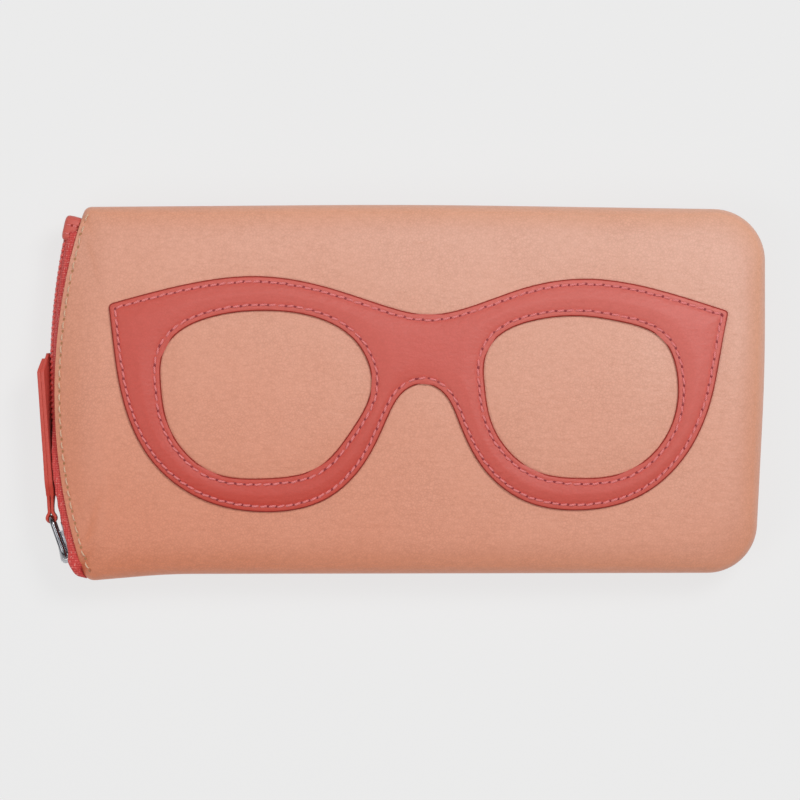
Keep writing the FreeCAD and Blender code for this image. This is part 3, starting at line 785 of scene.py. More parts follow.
def surface_under(piece):
    """Returns a function that finds a piece's surface and its normal at a place in plan, from one side."""
    mesh = piece.data
    tree = BVHTree.FromPolygons([v.co for v in mesh.vertices], [tuple(f.vertices) for f in mesh.polygons])

    def find(x, y, side):
        start = Vector((x * MM, y * MM, SEAM_Z * MM + side * 0.1))
        spot, normal, _, _ = tree.ray_cast(start, Vector((0, 0, -side)))
        if normal.z * side < 0:
            normal = -normal
        return np.array([spot.x, spot.y, spot.z - SEAM_Z * MM]) / MM, np.array(normal)

    return find


MOUTH_STITCH_INSET = 1.3
MOUTH_STITCH_PITCH = 2.8
MOUTH_STITCH_SPAN = 43.2


def mouth_stitch_mesh(name, side, leather_piece, thread_material, hole_shade_material):
    """The row of stitches through the rolled leather beside the mouth, which holds the tape."""
    threads, holes = Heap(), Heap()
    find = surface_under(leather_piece)
    count = int(2 * MOUTH_STITCH_SPAN / MOUTH_STITCH_PITCH)
    reach = MOUTH_RADIUS - MOUTH_STITCH_INSET
    for i in range(count):
        y = MOUTH_STITCH_SPAN * (2 * (i + 0.5) / count - 1)
        along = np.array([-y / reach, -math.sqrt(1 - (y / reach) ** 2), 0.0])
        x = MOUTH_CENTRE_X - math.sqrt(reach**2 - y * y)
        place, normal = find(x, y, side)
        size = 1.55 + 0.12 * math.sin(i * 2.9)
        slant = 0.1 + 0.06 * math.sin(i * 2.1 + side)
        place = place + normal * 0.02
        add_stitch(threads, holes, place, along, normal, size, 0.2, 0.18, MOUTH_STITCH_PITCH, slant)
    return stitch_pieces(threads, holes, name, thread_material, name + "_hole_shade", hole_shade_material)


# ---------------------------------------------------------------- pull strap


STRAP_TOP_Y = node_box("pull_strap")[1].y
STRAP_NECK_Y = -24.4
STRAP_HALF_WIDTH = 4.8
STRAP_POINT = 4.4
STRAP_TOP_OUT = 2.45
STRAP_EYE = 1.02
STRAP_EYE_PLY = 0.68
STRAP_STEP = 1.3
STRAP_STITCHES = 11
STRAP_STITCH_PITCH = 2.3


def ring_tip():
    """The middle of the ring's far bar in plan, in millimetres."""
    joint = Vector(JOINTS["strap_swing"]["pos_m"]) / MM
    return np.array([joint.x, joint.y])


def strap_lean(y, z):
    """How far the strap leans out at a place on it. Its lower half hangs upright, close to the case."""
    slope = 0.14 * float(ease((y - STRAP_NECK_Y + 4) / 6)) + 0.24 * float(ease((y + 10) / 12))
    return slope * (max(z, 0.0) - STRAP_HALF_WIDTH)


def strap_middle(y):
    """How far the strap's middle stands out from the coil's face. The strap is stiff, so it lies straight."""
    tip = ring_tip()
    top_x = float(zip_x(np.array(STRAP_TOP_Y))) - STRAP_TOP_OUT
    share = (y - tip[1]) / (STRAP_TOP_Y - tip[1])
    return float(zip_x(np.array(y))) - (tip[0] + (top_x - tip[0]) * share)


def strap_ply(y):
    """The thickness of each of the strap's two plies, thinned towards its end."""
    return 0.85 + 0.08 * float(ease((-14 - y) / 9)) - 0.2 * float(ease((y - 4) / 5))


def strap_path():
    """The leather strip's middle line in plan, from its outer end, round the ring's bar, to its inner end.

    Returns the points and the ply's thickness at each.
    """
    tip = ring_tip()

    def on_arc(y, ply_side):
        return np.array(zip_point(along_at(y), strap_middle(y) + ply_side * strap_ply(y) / 2, 0.0)[:2])

    outer_ys = np.linspace(STRAP_TOP_Y - STRAP_STEP, STRAP_NECK_Y, 50)
    inner_ys = np.linspace(STRAP_NECK_Y, STRAP_TOP_Y, 50)
    path = [on_arc(y, 1) for y in outer_ys]
    plies = [strap_ply(y) for y in outer_ys]
    start = (path[-1] + on_arc(STRAP_NECK_Y, -1)) / 2
    heading = tip - start
    heading /= np.linalg.norm(heading)
    left = np.array([heading[1], -heading[0]])
    if (path[-1] - start) @ left < 0:
        left = -left
    neck_ply = strap_ply(STRAP_NECK_Y)
    for way in (1, -1):
        stretch = []
        for t in np.linspace(0.0, 1.0, 12)[1:-1]:
            ply = neck_ply + (STRAP_EYE_PLY - neck_ply) * t
            gap = ply / 2 + (STRAP_EYE - ply / 2) * float(ease((t - 0.74) / 0.26))
            stretch.append(start * (1 - t) + tip * t + left * gap * way)
        if way > 0:
            path += stretch
            for angle in np.linspace(0, math.pi, 15):
                path.append(tip + STRAP_EYE * (left * math.cos(angle) + heading * math.sin(angle)))
        else:
            path += stretch[::-1]
        plies += [STRAP_EYE_PLY] * (len(path) - len(plies))
    path += [on_arc(y, -1) for y in inner_ys]
    plies += [strap_ply(y) for y in inner_ys]
    return np.array(path), plies


def strap_half_width(y):
    """Half the strap's width along it: a narrow neck at the ring, and clipped corners at its end."""
    neck = 3.1 + (STRAP_HALF_WIDTH - 3.1) * float(ease((y - (STRAP_NECK_Y - 2.4)) / 5.4))
    end = 0.7 + (STRAP_HALF_WIDTH - 0.7) * min(1.0, max(0.0, (STRAP_TOP_Y - y) / STRAP_POINT))
    return min(neck, end)


def strap_mesh(material, edge_material):
    """The pull: a leather strip folded round the ring's bar and glued to itself, with painted edges."""
    path, plies = strap_path()
    count = len(path)
    tangents = np.gradient(path, axis=0)
    tangents /= np.linalg.norm(tangents, axis=1)[:, None]
    sides = np.column_stack([-tangents[:, 1], tangents[:, 0]])
    points = []
    corner = 0.2
    per_corner = 6
    across_face = (0.6, 0.3, 0.0, -0.3, -0.6)
    section = 4 * per_corner + 2 * len(across_face)
    for i in range(count):
        y = float(path[i][1])
        half = strap_half_width(y)
        thick = plies[i] / 2 + 0.02
        push = np.array(zip_point(along_at(y), 1.0, 0.0)[:2]) - np.array(zip_point(along_at(y), 0.0, 0.0)[:2])
        spots = []
        for k in range(4):
            sign_t = 1 if k in (0, 3) else -1
            sign_z = 1 if k in (0, 1) else -1
            for j in range(per_corner):
                turn = math.pi / 2 * (k + j / (per_corner - 1))
                across = sign_t * (thick - corner) + corner * math.cos(turn)
                spots.append((across, sign_z * (half - corner) + corner * math.sin(turn)))
            if k in (1, 3):
                spots.extend((sign_t * thick, sign_z * half * share) for share in across_face)
        for across, z in spots:
            spot = path[i] + sides[i] * across + push * strap_lean(y, z)
            points.append((spot[0], spot[1], z))
    piece = build_mesh("pull_strap_leather", points, capped_faces(count, section), material)
    piece.data.materials.append(edge_material)
    for face in piece.data.polygons:
        if abs(face.normal.z) > 0.6:
            face.material_index = 1
    return face_outward(piece)


def strap_stitches(thread_material, hole_shade_material):
    """Stitches along both long edges of the strap, on its outer face."""
    threads, holes = Heap(), Heap()
    for edge in (-1, 1):
        for i in range(STRAP_STITCHES):
            y = STRAP_NECK_Y + 3.6 + i * STRAP_STITCH_PITCH
            z = edge * 3.2
            along = along_at(y)
            out = strap_middle(y) + strap_ply(y) + strap_lean(y, z)
            here = np.array(zip_point(along, out, z))
            ahead = np.array(zip_point(along + 1, out, z)) - here
            outward = np.array(zip_point(along, out + 1, z)) - here
            here = here - outward * 0.02
            add_stitch(threads, holes, here, ahead, outward, 1.6, 0.2, 0.12, STRAP_STITCH_PITCH)
    names = ("pull_strap_thread", "pull_strap_needle_hole_shade")
    return stitch_pieces(threads, holes, names[0], thread_material, names[1], hole_shade_material)


# ---------------------------------------------------------------- divider, tab and tail


DIVIDER_RADIUS = MOUTH_RADIUS - 17.0
DIVIDER_INSET = 4.6
HEM_STITCHES = 26
HEM_STITCH_PITCH = 2.88


def divider_outline(spacing=1.6):
    """The divider's edge in plan: the case's outline moved in, cut off by an arc short of the mouth."""
    loop = inset_points(np.full(len(OUTLINE), DIVIDER_INSET))
    reach = np.linalg.norm(loop - np.array([MOUTH_CENTRE_X, 0.0]), axis=1)
    beyond = (reach > DIVIDER_RADIUS) & (loop[:, 0] < 0)
    kept = loop[~beyond]
    first = int(np.argmax(np.linalg.norm(np.roll(kept, -1, axis=0) - kept, axis=1)))
    kept = np.roll(kept, -(first + 1), axis=0)
    start, end = kept[-1], kept[0]
    angles = [math.atan2(p[1], p[0] - MOUTH_CENTRE_X) % (2 * math.pi) for p in (start, end)]
    turns = np.linspace(angles[0], angles[1], 60)
    arc = np.column_stack([MOUTH_CENTRE_X + DIVIDER_RADIUS * np.cos(turns), DIVIDER_RADIUS * np.sin(turns)])
    return resample(np.vstack([kept, arc[1:-1]]), spacing), arc


def divider_wave(x, y):
    """The divider hangs a little slack: its height off the seam plane."""
    slack = ease((20 - x) / 70)
    return 0.35 * slack * np.sin(np.asarray(y) / 11.0 + 0.6) * np.cos(np.asarray(y) / 31.0)


def divider_mesh(material):
    """The cloth wall between the two compartments."""
    outline, _ = divider_outline()
    field = staggered(outline, 1.9)
    field = field[inside(field, [outline]) & (distances(field, plan_tree(outline)) > 0.8)]
    plan = np.vstack([outline, field])
    edges = [(i, (i + 1) % len(outline)) for i in range(len(outline))]
    points, _, triangles, _, _, _ = delaunay_2d_cdt([Vector(p) for p in plan], edges, [], 1, 1e-6)
    plan = np.array([tuple(p) for p in points])
    cloud = np.column_stack([plan, divider_wave(plan[:, 0], plan[:, 1])])
    return thicken(build_mesh("divider_cloth", cloud, triangles, material), 1.1)


def hem_mesh(material):
    """The binding folded over the divider's free edge."""
    _, arc = divider_outline()
    count, around = 90, 28
    at = np.linspace(0, 1, count) * (len(arc) - 1)
    line = np.column_stack([np.interp(at, range(len(arc)), arc[:, k]) for k in (0, 1)])
    width, half = 6.0, 1.05
    section = []
    for k in range(around):
        turn = 2 * math.pi * k / around
        across = width / 2 * signed_power(math.cos(turn), 0.45)
        section.append((across, half * signed_power(math.sin(turn), 0.7)))
    points = []
    for p in line:
        inward = np.array([MOUTH_CENTRE_X, 0.0]) - p
        inward /= np.linalg.norm(inward)
        for across, z in section:
            spot = p + inward * (width / 2 - 0.3 + across)
            points.append((spot[0], spot[1], z + float(divider_wave(spot[0], spot[1]))))
    return face_outward(build_mesh("divider_hem_binding", points, capped_faces(count, around), material))


def hem_stitches(thread_material, hole_shade_material):
    """The hem's stitches, on both faces."""
    threads, holes = Heap(), Heap()
    radius = DIVIDER_RADIUS - 4.8
    for face in (-1, 1):
        for i in range(HEM_STITCHES):
            y = -36.0 + i * HEM_STITCH_PITCH
            x = MOUTH_CENTRE_X - math.sqrt(radius**2 - y * y)
            along = np.array([y / radius, (MOUTH_CENTRE_X - x) / radius, 0.0])
            z = float(divider_wave(x, y)) + face * 1.0
            add_stitch(threads, holes, (x, y, z), along, (0, 0, face), 2.0, 0.24, 0.28)
    names = ("divider_thread", "divider_needle_hole_shade")
    return stitch_pieces(threads, holes, names[0], thread_material, names[1], hole_shade_material)


CROWN_HALF_WIDTH = 1.25
CROWN_EYE = 0.82


def crown_mesh(name, material):
    """The slider's crown: a low rounded block on its plate, with an eye that the ring's bar turns in."""
    pivot = Vector(JOINTS["ring_swing"]["pos_m"]) / MM - ZIP_PIVOT
    eye_along = ZIP_RADIUS * math.atan2(pivot.y, -pivot.x)
    eye_out = math.hypot(pivot.x, pivot.y) - ZIP_RADIUS
    low, high, foot, top = eye_along - 1.6, eye_along + 6.2, eye_out - 1.0, eye_out + 1.25
    outline = []
    corners = ((low, top, 1.2, 180), (high, top - 0.35, 1.0, 90), (high, foot, 0.1, 0))
    for along, out, radius, start in corners:
        inward = -1 if along == high else 1
        for turn in np.radians(np.linspace(start, start - 90, 9)):
            reach = along + inward * radius + radius * math.cos(turn)
            outline.append((reach, out - radius + radius * math.sin(turn)))
    outline.append((high, foot - 0.1))
    outline.append((low, foot - 0.1))
    turns = np.radians(range(0, 360, 15))
    eye = [(eye_along + CROWN_EYE * math.cos(t), eye_out + CROWN_EYE * math.sin(t)) for t in turns]
    shape = bmesh.new()
    for loop in (outline, eye):
        verts = [shape.verts.new((along, out, -CROWN_HALF_WIDTH)) for along, out in loop]
        for i, vert in enumerate(verts):
            shape.edges.new((vert, verts[(i + 1) % len(verts)]))
    bmesh.ops.triangle_fill(shape, use_beauty=True, edges=shape.edges[:])
    grown = bmesh.ops.extrude_face_region(shape, geom=shape.faces[:])["geom"]
    grown = [item for item in grown if isinstance(item, bmesh.types.BMVert)]
    bmesh.ops.translate(shape, verts=grown, vec=(0, 0, 2 * CROWN_HALF_WIDTH))
    shape.verts.index_update()
    points = [zip_point(vert.co.x, vert.co.y, vert.co.z) for vert in shape.verts]
    faces = [[vert.index for vert in face.verts] for face in shape.faces]
    shape.free()
    return soften(face_outward(build_mesh(name, points, faces, material)), 0.22, 3)


def rounded_block(name, material, alongs, outs, half_height, corner):
    """A soft block on the zip's arc with well rounded edges, as a folded tab or a tape's end has.

    alongs runs from low to high and outs from high to low. corner is 1 for an ellipsoid and near 0 for a box.
    """
    rows, columns = 13, 26
    middle_along, half_along = (alongs[0] + alongs[1]) / 2, (alongs[1] - alongs[0]) / 2
    middle_out, half_out = (outs[0] + outs[1]) / 2, (outs[0] - outs[1]) / 2
    points = []
    for r in range(rows):
        rise = math.pi * (r / (rows - 1) - 0.5)
        ring = abs(math.cos(rise)) ** corner
        height = half_height * signed_power(math.sin(rise), corner)
        for c in range(columns):
            turn = 2 * math.pi * c / columns
            along = middle_along + half_along * signed_power(math.cos(turn), corner) * ring
            out = middle_out + half_out * signed_power(math.sin(turn), corner) * ring
            points.append(zip_point(along, out, height))
    piece = build_mesh(name, points, grid_faces(rows, columns, closed=True), material)
    shape = welded(piece.data)
    shape.to_mesh(piece.data)
    shape.free()
    return face_outward(piece)


# ---------------------------------------------------------------- materials


def linear(red, green, blue):
    """A colour from 0-255 display values to the linear values that shaders take."""
    values = []
    for value in (red, green, blue):
        share = value / 255
        values.append(share / 12.92 if share <= 0.04045 else ((share + 0.055) / 1.055) ** 2.4)
    return (*values, 1.0)


class Shader:
    """A node material under construction."""

    def __init__(self, name, roughness=0.6, metallic=0.0, specular=0.5):
        self.material = bpy.data.materials.new(name)
        self.material.use_nodes = True
        self.tree = self.material.node_tree
        self.surface = self.tree.nodes["Principled BSDF"]
        self.surface.inputs["Roughness"].default_value = roughness
        self.surface.inputs["Metallic"].default_value = metallic
        self.surface.inputs["Specular IOR Level"].default_value = specular
        self.place = self.node("ShaderNodeTexCoord").outputs["Object"]

    def node(self, kind, **settings):
        made = self.tree.nodes.new(kind)
        for key, value in settings.items():
            setattr(made, key, value)
        return made

    def link(self, output, target):
        self.tree.links.new(output, target)

    def stretched(self, scale, turn=0.0):
        """The place, scaled along each axis, after a turn about z in degrees."""
        mapping = self.node("ShaderNodeMapping")
        mapping.inputs["Scale"].default_value = scale
        mapping.inputs["Rotation"].default_value = (0, 0, math.radians(turn))
        self.link(self.place, mapping.inputs["Vector"])
        return mapping.outputs["Vector"]

    def noise(self, size, detail=3.0, place=None, roughness=0.55):
        made = self.node("ShaderNodeTexNoise")
        made.inputs["Scale"].default_value = 1 / (size * MM)
        made.inputs["Detail"].default_value = detail
        made.inputs["Roughness"].default_value = roughness
        self.link(place or self.place, made.inputs["Vector"])
        return made.outputs["Fac"]

    def cells(self, size, feature="F1", place=None, randomness=1.0, output="Distance"):
        made = self.node("ShaderNodeTexVoronoi", feature=feature)
        made.inputs["Scale"].default_value = 1 / (size * MM)
        made.inputs["Randomness"].default_value = randomness
        self.link(place or self.place, made.inputs["Vector"])
        return made.outputs[output]

    def wave(self, size, place=None, direction="X", distortion=0.0, profile="SIN"):
        made = self.node("ShaderNodeTexWave", bands_direction=direction, wave_profile=profile)
        made.inputs["Scale"].default_value = 0.314 / (size * MM)
        made.inputs["Distortion"].default_value = distortion
        made.inputs["Detail Scale"].default_value = 2.0
        self.link(place or self.place, made.inputs["Vector"])
        return made.outputs["Fac"]

    def math(self, operation, first, second):
        made = self.node("ShaderNodeMath", operation=operation)
        for index, value in enumerate((first, second)):
            if isinstance(value, (int, float)):
                made.inputs[index].default_value = value
            else:
                self.link(value, made.inputs[index])
        return made.outputs[0]

    def ramp(self, value, stops):
        made = self.node("ShaderNodeValToRGB")
        elements = made.color_ramp.elements
        while len(elements) < len(stops):
            elements.new(0.5)
        for element, (position, colour) in zip(elements, stops):
            element.position = position
            element.color = colour
        self.link(value, made.inputs["Fac"])
        return made.outputs["Color"]

    def mix(self, share, first, second, blend="MIX"):
        made = self.node("ShaderNodeMix", data_type="RGBA", blend_type=blend)
        for socket, value in ((made.inputs[0], share), (made.inputs[6], first), (made.inputs[7], second)):
            if isinstance(value, (int, float, tuple)):
                socket.default_value = value
            else:
                self.link(value, socket)
        return made.outputs[2]

    def bump(self, height, distance, strength=1.0, under=None):
        made = self.node("ShaderNodeBump")
        made.inputs["Distance"].default_value = distance * MM
        made.inputs["Strength"].default_value = strength
        self.link(height, made.inputs["Height"])
        if under is not None:
            self.link(under, made.inputs["Normal"])
        return made.outputs["Normal"]

    def finish(self, colour, normal=None, roughness=None):
        if isinstance(colour, tuple):
            self.surface.inputs["Base Color"].default_value = colour
        else:
            self.link(colour, self.surface.inputs["Base Color"])
        if normal is not None:
            self.link(normal, self.surface.inputs["Normal"])
        if roughness is not None:
            self.link(roughness, self.surface.inputs["Roughness"])
        return self.material


WHITE = (1, 1, 1, 1)
BLACK = (0, 0, 0, 1)
# Way across the case in which the leather's colour is painted paler, as the key light's haze, and deeper as
# shade.
PAINTED_HAZE_WAY = (2.6, 7.4, 0.0)


# Painted light: the tint laid on the leather where it rolls over an edge, as warm light would colour it.
PAINTED_RIM_LIGHT_TINT = (1.07, 0.93, 0.76, 1)


def leather(name, low, high, grain=0.75, relief=0.05, roughness=0.52, relief_shade=0.35, rim=0.0):
    """Soft grained leather: pebbles, creases, fine wrinkles, a painted light haze across the case, satin
    finish.

    low and high are its colours towards the case's lower left, painted deeper as shade, and towards its upper
    right, painted paler as the key light's haze. The argument after roughness sets how far painted shade and
    highlight follow the grain and wrinkles, and rim how far the colour is painted orange, as warm light, where
    the leather rolls over an edge.
    """
    made = Shader(name, roughness=roughness, specular=0.42)
    warp = made.noise(3.2, 2.0)
    bent = made.mix(0.0016, made.place, warp, "ADD")
    creases = made.cells(grain, "DISTANCE_TO_EDGE", bent)
    pebbles = made.ramp(creases, [(0.0, BLACK), (0.2, (0.75, 0.75, 0.75, 1)), (0.5, WHITE)])
    fine = made.noise(0.3, 3.0)
    folds = made.noise(2.2, 4.0, made.stretched((0.5, 1.0, 1.0), 6), roughness=0.62)
    wrinkles = made.noise(0.85, 2.0, made.stretched((0.5, 1.0, 1.0), 6), roughness=0.5)
    patches = made.noise(14.0, 2.0)
    clouds = made.noise(34.0, 3.0, roughness=0.6)
    # Painted light: the colour grades from painted shade at the lower left to a painted haze of the key light
    # at the upper right, with random clouds of tone.
    across = made.node("ShaderNodeVectorMath", operation="DOT_PRODUCT")
    across.inputs[1].default_value = PAINTED_HAZE_WAY
    made.link(made.place, across.inputs[0])
    haze_and_clouds = made.math("ADD", across.outputs["Value"], made.math("MULTIPLY", clouds, 0.24))
    painted_haze = made.ramp(made.math("ADD", haze_and_clouds, 0.38), [(0.0, low), (1.0, high)])
    mottle = made.noise(1.9, 5.0, roughness=0.75)
    tint = made.ramp(mottle, [(0.3, (0.95, 0.94, 0.93, 1)), (0.5, WHITE), (0.72, (1.03, 1.04, 1.05, 1))])
    mottled = made.mix(0.7, painted_haze, made.mix(1.0, painted_haze, tint, "MULTIPLY"))
    # Painted shade: the grain's creases, where its bump sinks, are darkened in the colour, more in some
    # patches than others.
    shade = made.ramp(pebbles, [(0.0, (0.72, 0.66, 0.63, 1)), (0.8, WHITE)])
    grain_shade_share = made.math("MULTIPLY", made.math("ADD", patches, 0.1), relief_shade)
    grained = made.mix(grain_shade_share, mottled, made.mix(1.0, mottled, shade, "MULTIPLY"))
    # Painted shade and highlight: the colour is darker in the wrinkles' hollows and paler on their crests,
    # following their bump.
    crease_shade_and_highlight = made.ramp(wrinkles, [(0.34, (0.94, 0.92, 0.90, 1)), (0.5, WHITE), (0.66, (1.04, 1.05, 1.06, 1))])
    grained = made.mix(relief_shade, grained, made.mix(1.0, grained, crease_shade_and_highlight, "MULTIPLY"))
    # Painted light: where the surface turns from facing up or down, the colour is tinted orange, as warm light
    # on the rolled edges.
    if rim:
        facing = made.node("ShaderNodeVectorMath", operation="DOT_PRODUCT")
        facing.inputs[1].default_value = (0, 0, 1)
        made.link(made.node("ShaderNodeTexCoord").outputs["Normal"], facing.inputs[0])
        upward = made.math("ABSOLUTE", facing.outputs["Value"], 0.0)
        rolled = made.ramp(upward, [(0.2, (0.6, 0.6, 0.6, 1)), (0.6, WHITE), (0.92, BLACK)])
        rim_lit = made.mix(1.0, grained, PAINTED_RIM_LIGHT_TINT, "MULTIPLY")
        grained = made.mix(made.math("MULTIPLY", rolled, rim), grained, rim_lit)
    height = made.math("ADD", made.math("MULTIPLY", pebbles, 0.5), made.math("MULTIPLY", fine, 0.25))
    under = made.bump(wrinkles, relief * 2.5, 0.8, made.bump(folds, relief * 5.0, 0.8))
    normal = made.bump(height, relief * 0.8, 0.8, under)
    gloss = made.math("ADD", made.math("MULTIPLY", fine, 0.16), roughness - 0.1)
    made.surface.inputs["Sheen Weight"].default_value = 0.06
    made.surface.inputs["Sheen Roughness"].default_value = 0.4
    return made.finish(grained, normal, gloss)


def thread(name, base, deep, pale):
    """Twisted sewing thread."""
    made = Shader(name, roughness=0.62, specular=0.3)
    twist = made.wave(0.30, made.stretched((1, 1, 1), 38), "X", 1.0)
    fibres = made.noise(0.14, 3.0)
    value = made.math("ADD", made.math("MULTIPLY", twist, 0.55), made.math("MULTIPLY", fibres, 0.45))
    colour = made.ramp(value, [(0.15, deep), (0.5, base), (0.85, pale)])
    made.surface.inputs["Sheen Weight"].default_value = 0.25
    return made.finish(colour, made.bump(value, 0.05, 0.8))


def woven(name, base, deep, pale, pitch):
    """Cloth of two crossing yarns, seen on whichever side faces out, with painted glints of light in small
    pale spots.
    """
    made = Shader(name, roughness=0.75, specular=0.25)
    warp = made.wave(pitch, direction="Y")
    weft = made.wave(pitch, direction="Z")
    width = made.wave(pitch * 1.1, direction="X")
    crossing = made.math("MAXIMUM", made.math("MULTIPLY", warp, weft), made.math("MULTIPLY", warp, width))
    fuzz = made.noise(pitch * 0.6, 4.0, roughness=0.7)
    value = made.math("ADD", made.math("MULTIPLY", crossing, 0.6), made.math("MULTIPLY", fuzz, 0.5))
    colour = made.ramp(value, [(0.12, deep), (0.5, base), (0.9, pale)])
    # Painted highlight: small pale spots stand in for glints of light on the yarn.
    glint_spots = made.ramp(made.cells(pitch * 1.5), [(0.0, WHITE), (0.3, BLACK)])
    with_painted_glints = made.mix(made.math("MULTIPLY", glint_spots, 0.7), colour, linear(244, 196, 186))
    made.surface.inputs["Sheen Weight"].default_value = 0.05
    return made.finish(with_painted_glints, made.bump(value, 0.08, 0.9))


def nylon(name, base, deep, pale):
    """Drawn nylon filament: smooth, a little see-through at its edges and softly glossy."""
    made = Shader(name, roughness=0.32, specular=0.5)
    streaks = made.noise(0.5, 3.0)
    colour = made.ramp(streaks, [(0.3, deep), (0.5, base), (0.75, pale)])
    return made.finish(colour, made.bump(streaks, 0.02, 0.6))


def chrome(name, dark, bright):
    """Polished plated metal, with hairline marks and a faint dulling."""
    made = Shader(name, roughness=0.16, metallic=1.0)
    hairs = made.noise(0.9, 4.0, made.stretched((1, 0.15, 1), 20), roughness=0.7)
    dull = made.noise(2.4, 3.0)
    colour = made.ramp(dull, [(0.3, dark), (0.7, bright)])
    gloss = made.math("ADD", made.math("MULTIPLY", hairs, 0.16), 0.08)
    return made.finish(colour, made.bump(hairs, 0.004, 0.5), gloss)


def microfibre(name, base, deep, pale):
    """Brushed lining cloth with a soft nap."""
    made = Shader(name, roughness=0.9, specular=0.15)
    nap = made.noise(0.5, 5.0, made.stretched((1, 0.5, 1), 25), roughness=0.75)
    clouds = made.noise(14.0, 3.0)
    value = made.math("ADD", made.math("MULTIPLY", nap, 0.6), made.math("MULTIPLY", clouds, 0.4))
    colour = made.ramp(value, [(0.3, deep), (0.5, base), (0.7, pale)])
    made.surface.inputs["Sheen Weight"].default_value = 0.5
    made.surface.inputs["Sheen Roughness"].default_value = 0.5
    return made.finish(colour, made.bump(nap, 0.06, 0.8))


def foam(name):
    """Open-cell padding foam."""
    made = Shader(name, roughness=0.95, specular=0.1)
    pores = made.cells(0.9)
    colour = made.ramp(pores, [(0.1, linear(206, 198, 176)), (0.6, linear(236, 230, 214))])
    return made.finish(colour, made.bump(pores, 0.12, 0.8))


def floor_finish(name):
    """A plain pale studio floor that glows a little, as a lit table does, so shadows stay faint."""
    made = Shader(name, roughness=0.9, specular=0.0)
    cloud = made.noise(160.0, 2.0)
    colour = made.ramp(cloud, [(0.3, (0.115, 0.115, 0.115, 1)), (0.7, (0.12, 0.12, 0.12, 1))])
    made.surface.inputs["Emission Color"].default_value = (1.0, 1.0, 1.0, 1.0)
    made.surface.inputs["Emission Strength"].default_value = FLOOR_GLOW
    return made.finish(colour)


FLOOR_GLOW = 0.72
PEACH = leather("peach_leather", linear(219, 139, 108), linear(229, 177, 156), grain=0.72, relief_shade=0.5, rim=0.8)
CORAL = leather(
    "coral_leather", linear(194, 58, 41), linear(216, 112, 102), grain=0.8, relief=0.04, relief_shade=0.25
)
CORAL_EDGE = leather("coral_cut_edge", linear(152, 42, 30), linear(164, 50, 38), grain=0.35, roughness=0.8)
STRAP_FACE = leather("coral_strap_leather", linear(196, 78, 66), linear(206, 92, 80), grain=0.6)
# Painted shade: the colours of the discs laid where needle holes show dark.
PAINTED_HOLE_SHADE_RED = leather("painted_hole_shade_red", linear(142, 30, 38), linear(148, 34, 42), grain=0.4)
PAINTED_HOLE_SHADE_BROWN = leather("painted_hole_shade_brown", linear(176, 124, 82), linear(184, 134, 92), grain=0.4)
CORAL_THREAD = thread("coral_thread", linear(230, 124, 124), linear(204, 90, 94), linear(244, 156, 152))
NATURAL_THREAD = thread("natural_thread", linear(218, 180, 150), linear(204, 158, 124), linear(228, 198, 172))
TAPE = woven("zip_tape_weave", linear(212, 75, 72), linear(176, 47, 49), linear(230, 114, 105), 0.42)
COIL = nylon("zip_coil_nylon", linear(228, 92, 86), linear(214, 78, 74), linear(238, 120, 112))
COIL_CORD = nylon("zip_coil_cord", linear(146, 38, 42), linear(132, 32, 36), linear(158, 48, 50))
LINING = microfibre("lining_cloth", linear(206, 118, 100), linear(186, 96, 80), linear(220, 138, 120))
FOAM = foam("padding_foam")
CHROME = chrome("polished_chrome", linear(178, 179, 184), linear(214, 215, 219))
# Painted reflection: the ring gets a darker copy of the chrome, standing in for dark reflections of the studio
# on it.
RING_CHROME_PAINTED_DARK = chrome("ring_chrome_painted_dark", linear(104, 105, 110), linear(140, 141, 146))
FLOOR = floor_finish("studio_floor")


# ---------------------------------------------------------------- putting it together


def opening_share(y):
    """How much of the mouth's opening the front follows across the case."""
    t = np.clip((OPEN_HIGH_Y - y) / (OPEN_HIGH_Y - OPEN_LOW_Y), 0.0, 1.0)
    return np.sin(math.pi * t) ** 1.4


def open_with(piece, moving):
    """Makes a soft piece of the front open with the mouth: shut where the zip stays shut, free between."""
    line = [Vector((0.0, y * MM, SEAM_Z * MM)) for y in (OPEN_HIGH_Y, OPEN_LOW_Y)]
    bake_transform(piece, "back_wall", moving, start=line[0], end=line[1])
    mesh = piece.data
    places = np.empty(len(mesh.vertices) * 3)
    mesh.vertices.foreach_get("co", places)
    share = opening_share(places[1::3] / MM)
    mesh.attributes["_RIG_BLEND"].data.foreach_set("value", share.astype(np.float32))
    return piece


def fit(piece, slot, *nodes, body=None):
    """Hides the CAD nodes that a piece replaces, and puts it on the body it rides on, if it rides on one.

    slot is not used.
    """
    if body:
        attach(piece, body)
    if nodes:
        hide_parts(*nodes)
    return piece


FOAM_EDGE = {"setback": 3.0, "roll": 7.5, "lift": 0.5, "turned": False}
LINING_EDGE = {"setback": 2.2, "roll": 7.0, "lift": 0.6, "turned": False}

# Back wall, which lies flat and rides on the root body
back_leather = wall_mesh("back_leather", PEACH, back_height, -1, 0.0, LEATHER, 2.2)
fit(back_leather, "peach_leather", "back_panel", body="back_wall")
back_foam = wall_mesh("back_foam", FOAM, back_height, -1, 1.3, 0.2, 3.2, **FOAM_EDGE)
thicken(back_foam, 1.8, -1.0)
fit(back_foam, "foam", "back_padding", body="back_wall")
back_lining = wall_mesh("back_lining_cloth", LINING, back_height, -1, 3.4, 0.2, 2.8, **LINING_EDGE)
thicken(back_lining, 0.5, -1.0)
fit(back_lining, "lining", "back_lining", body="back_wall")

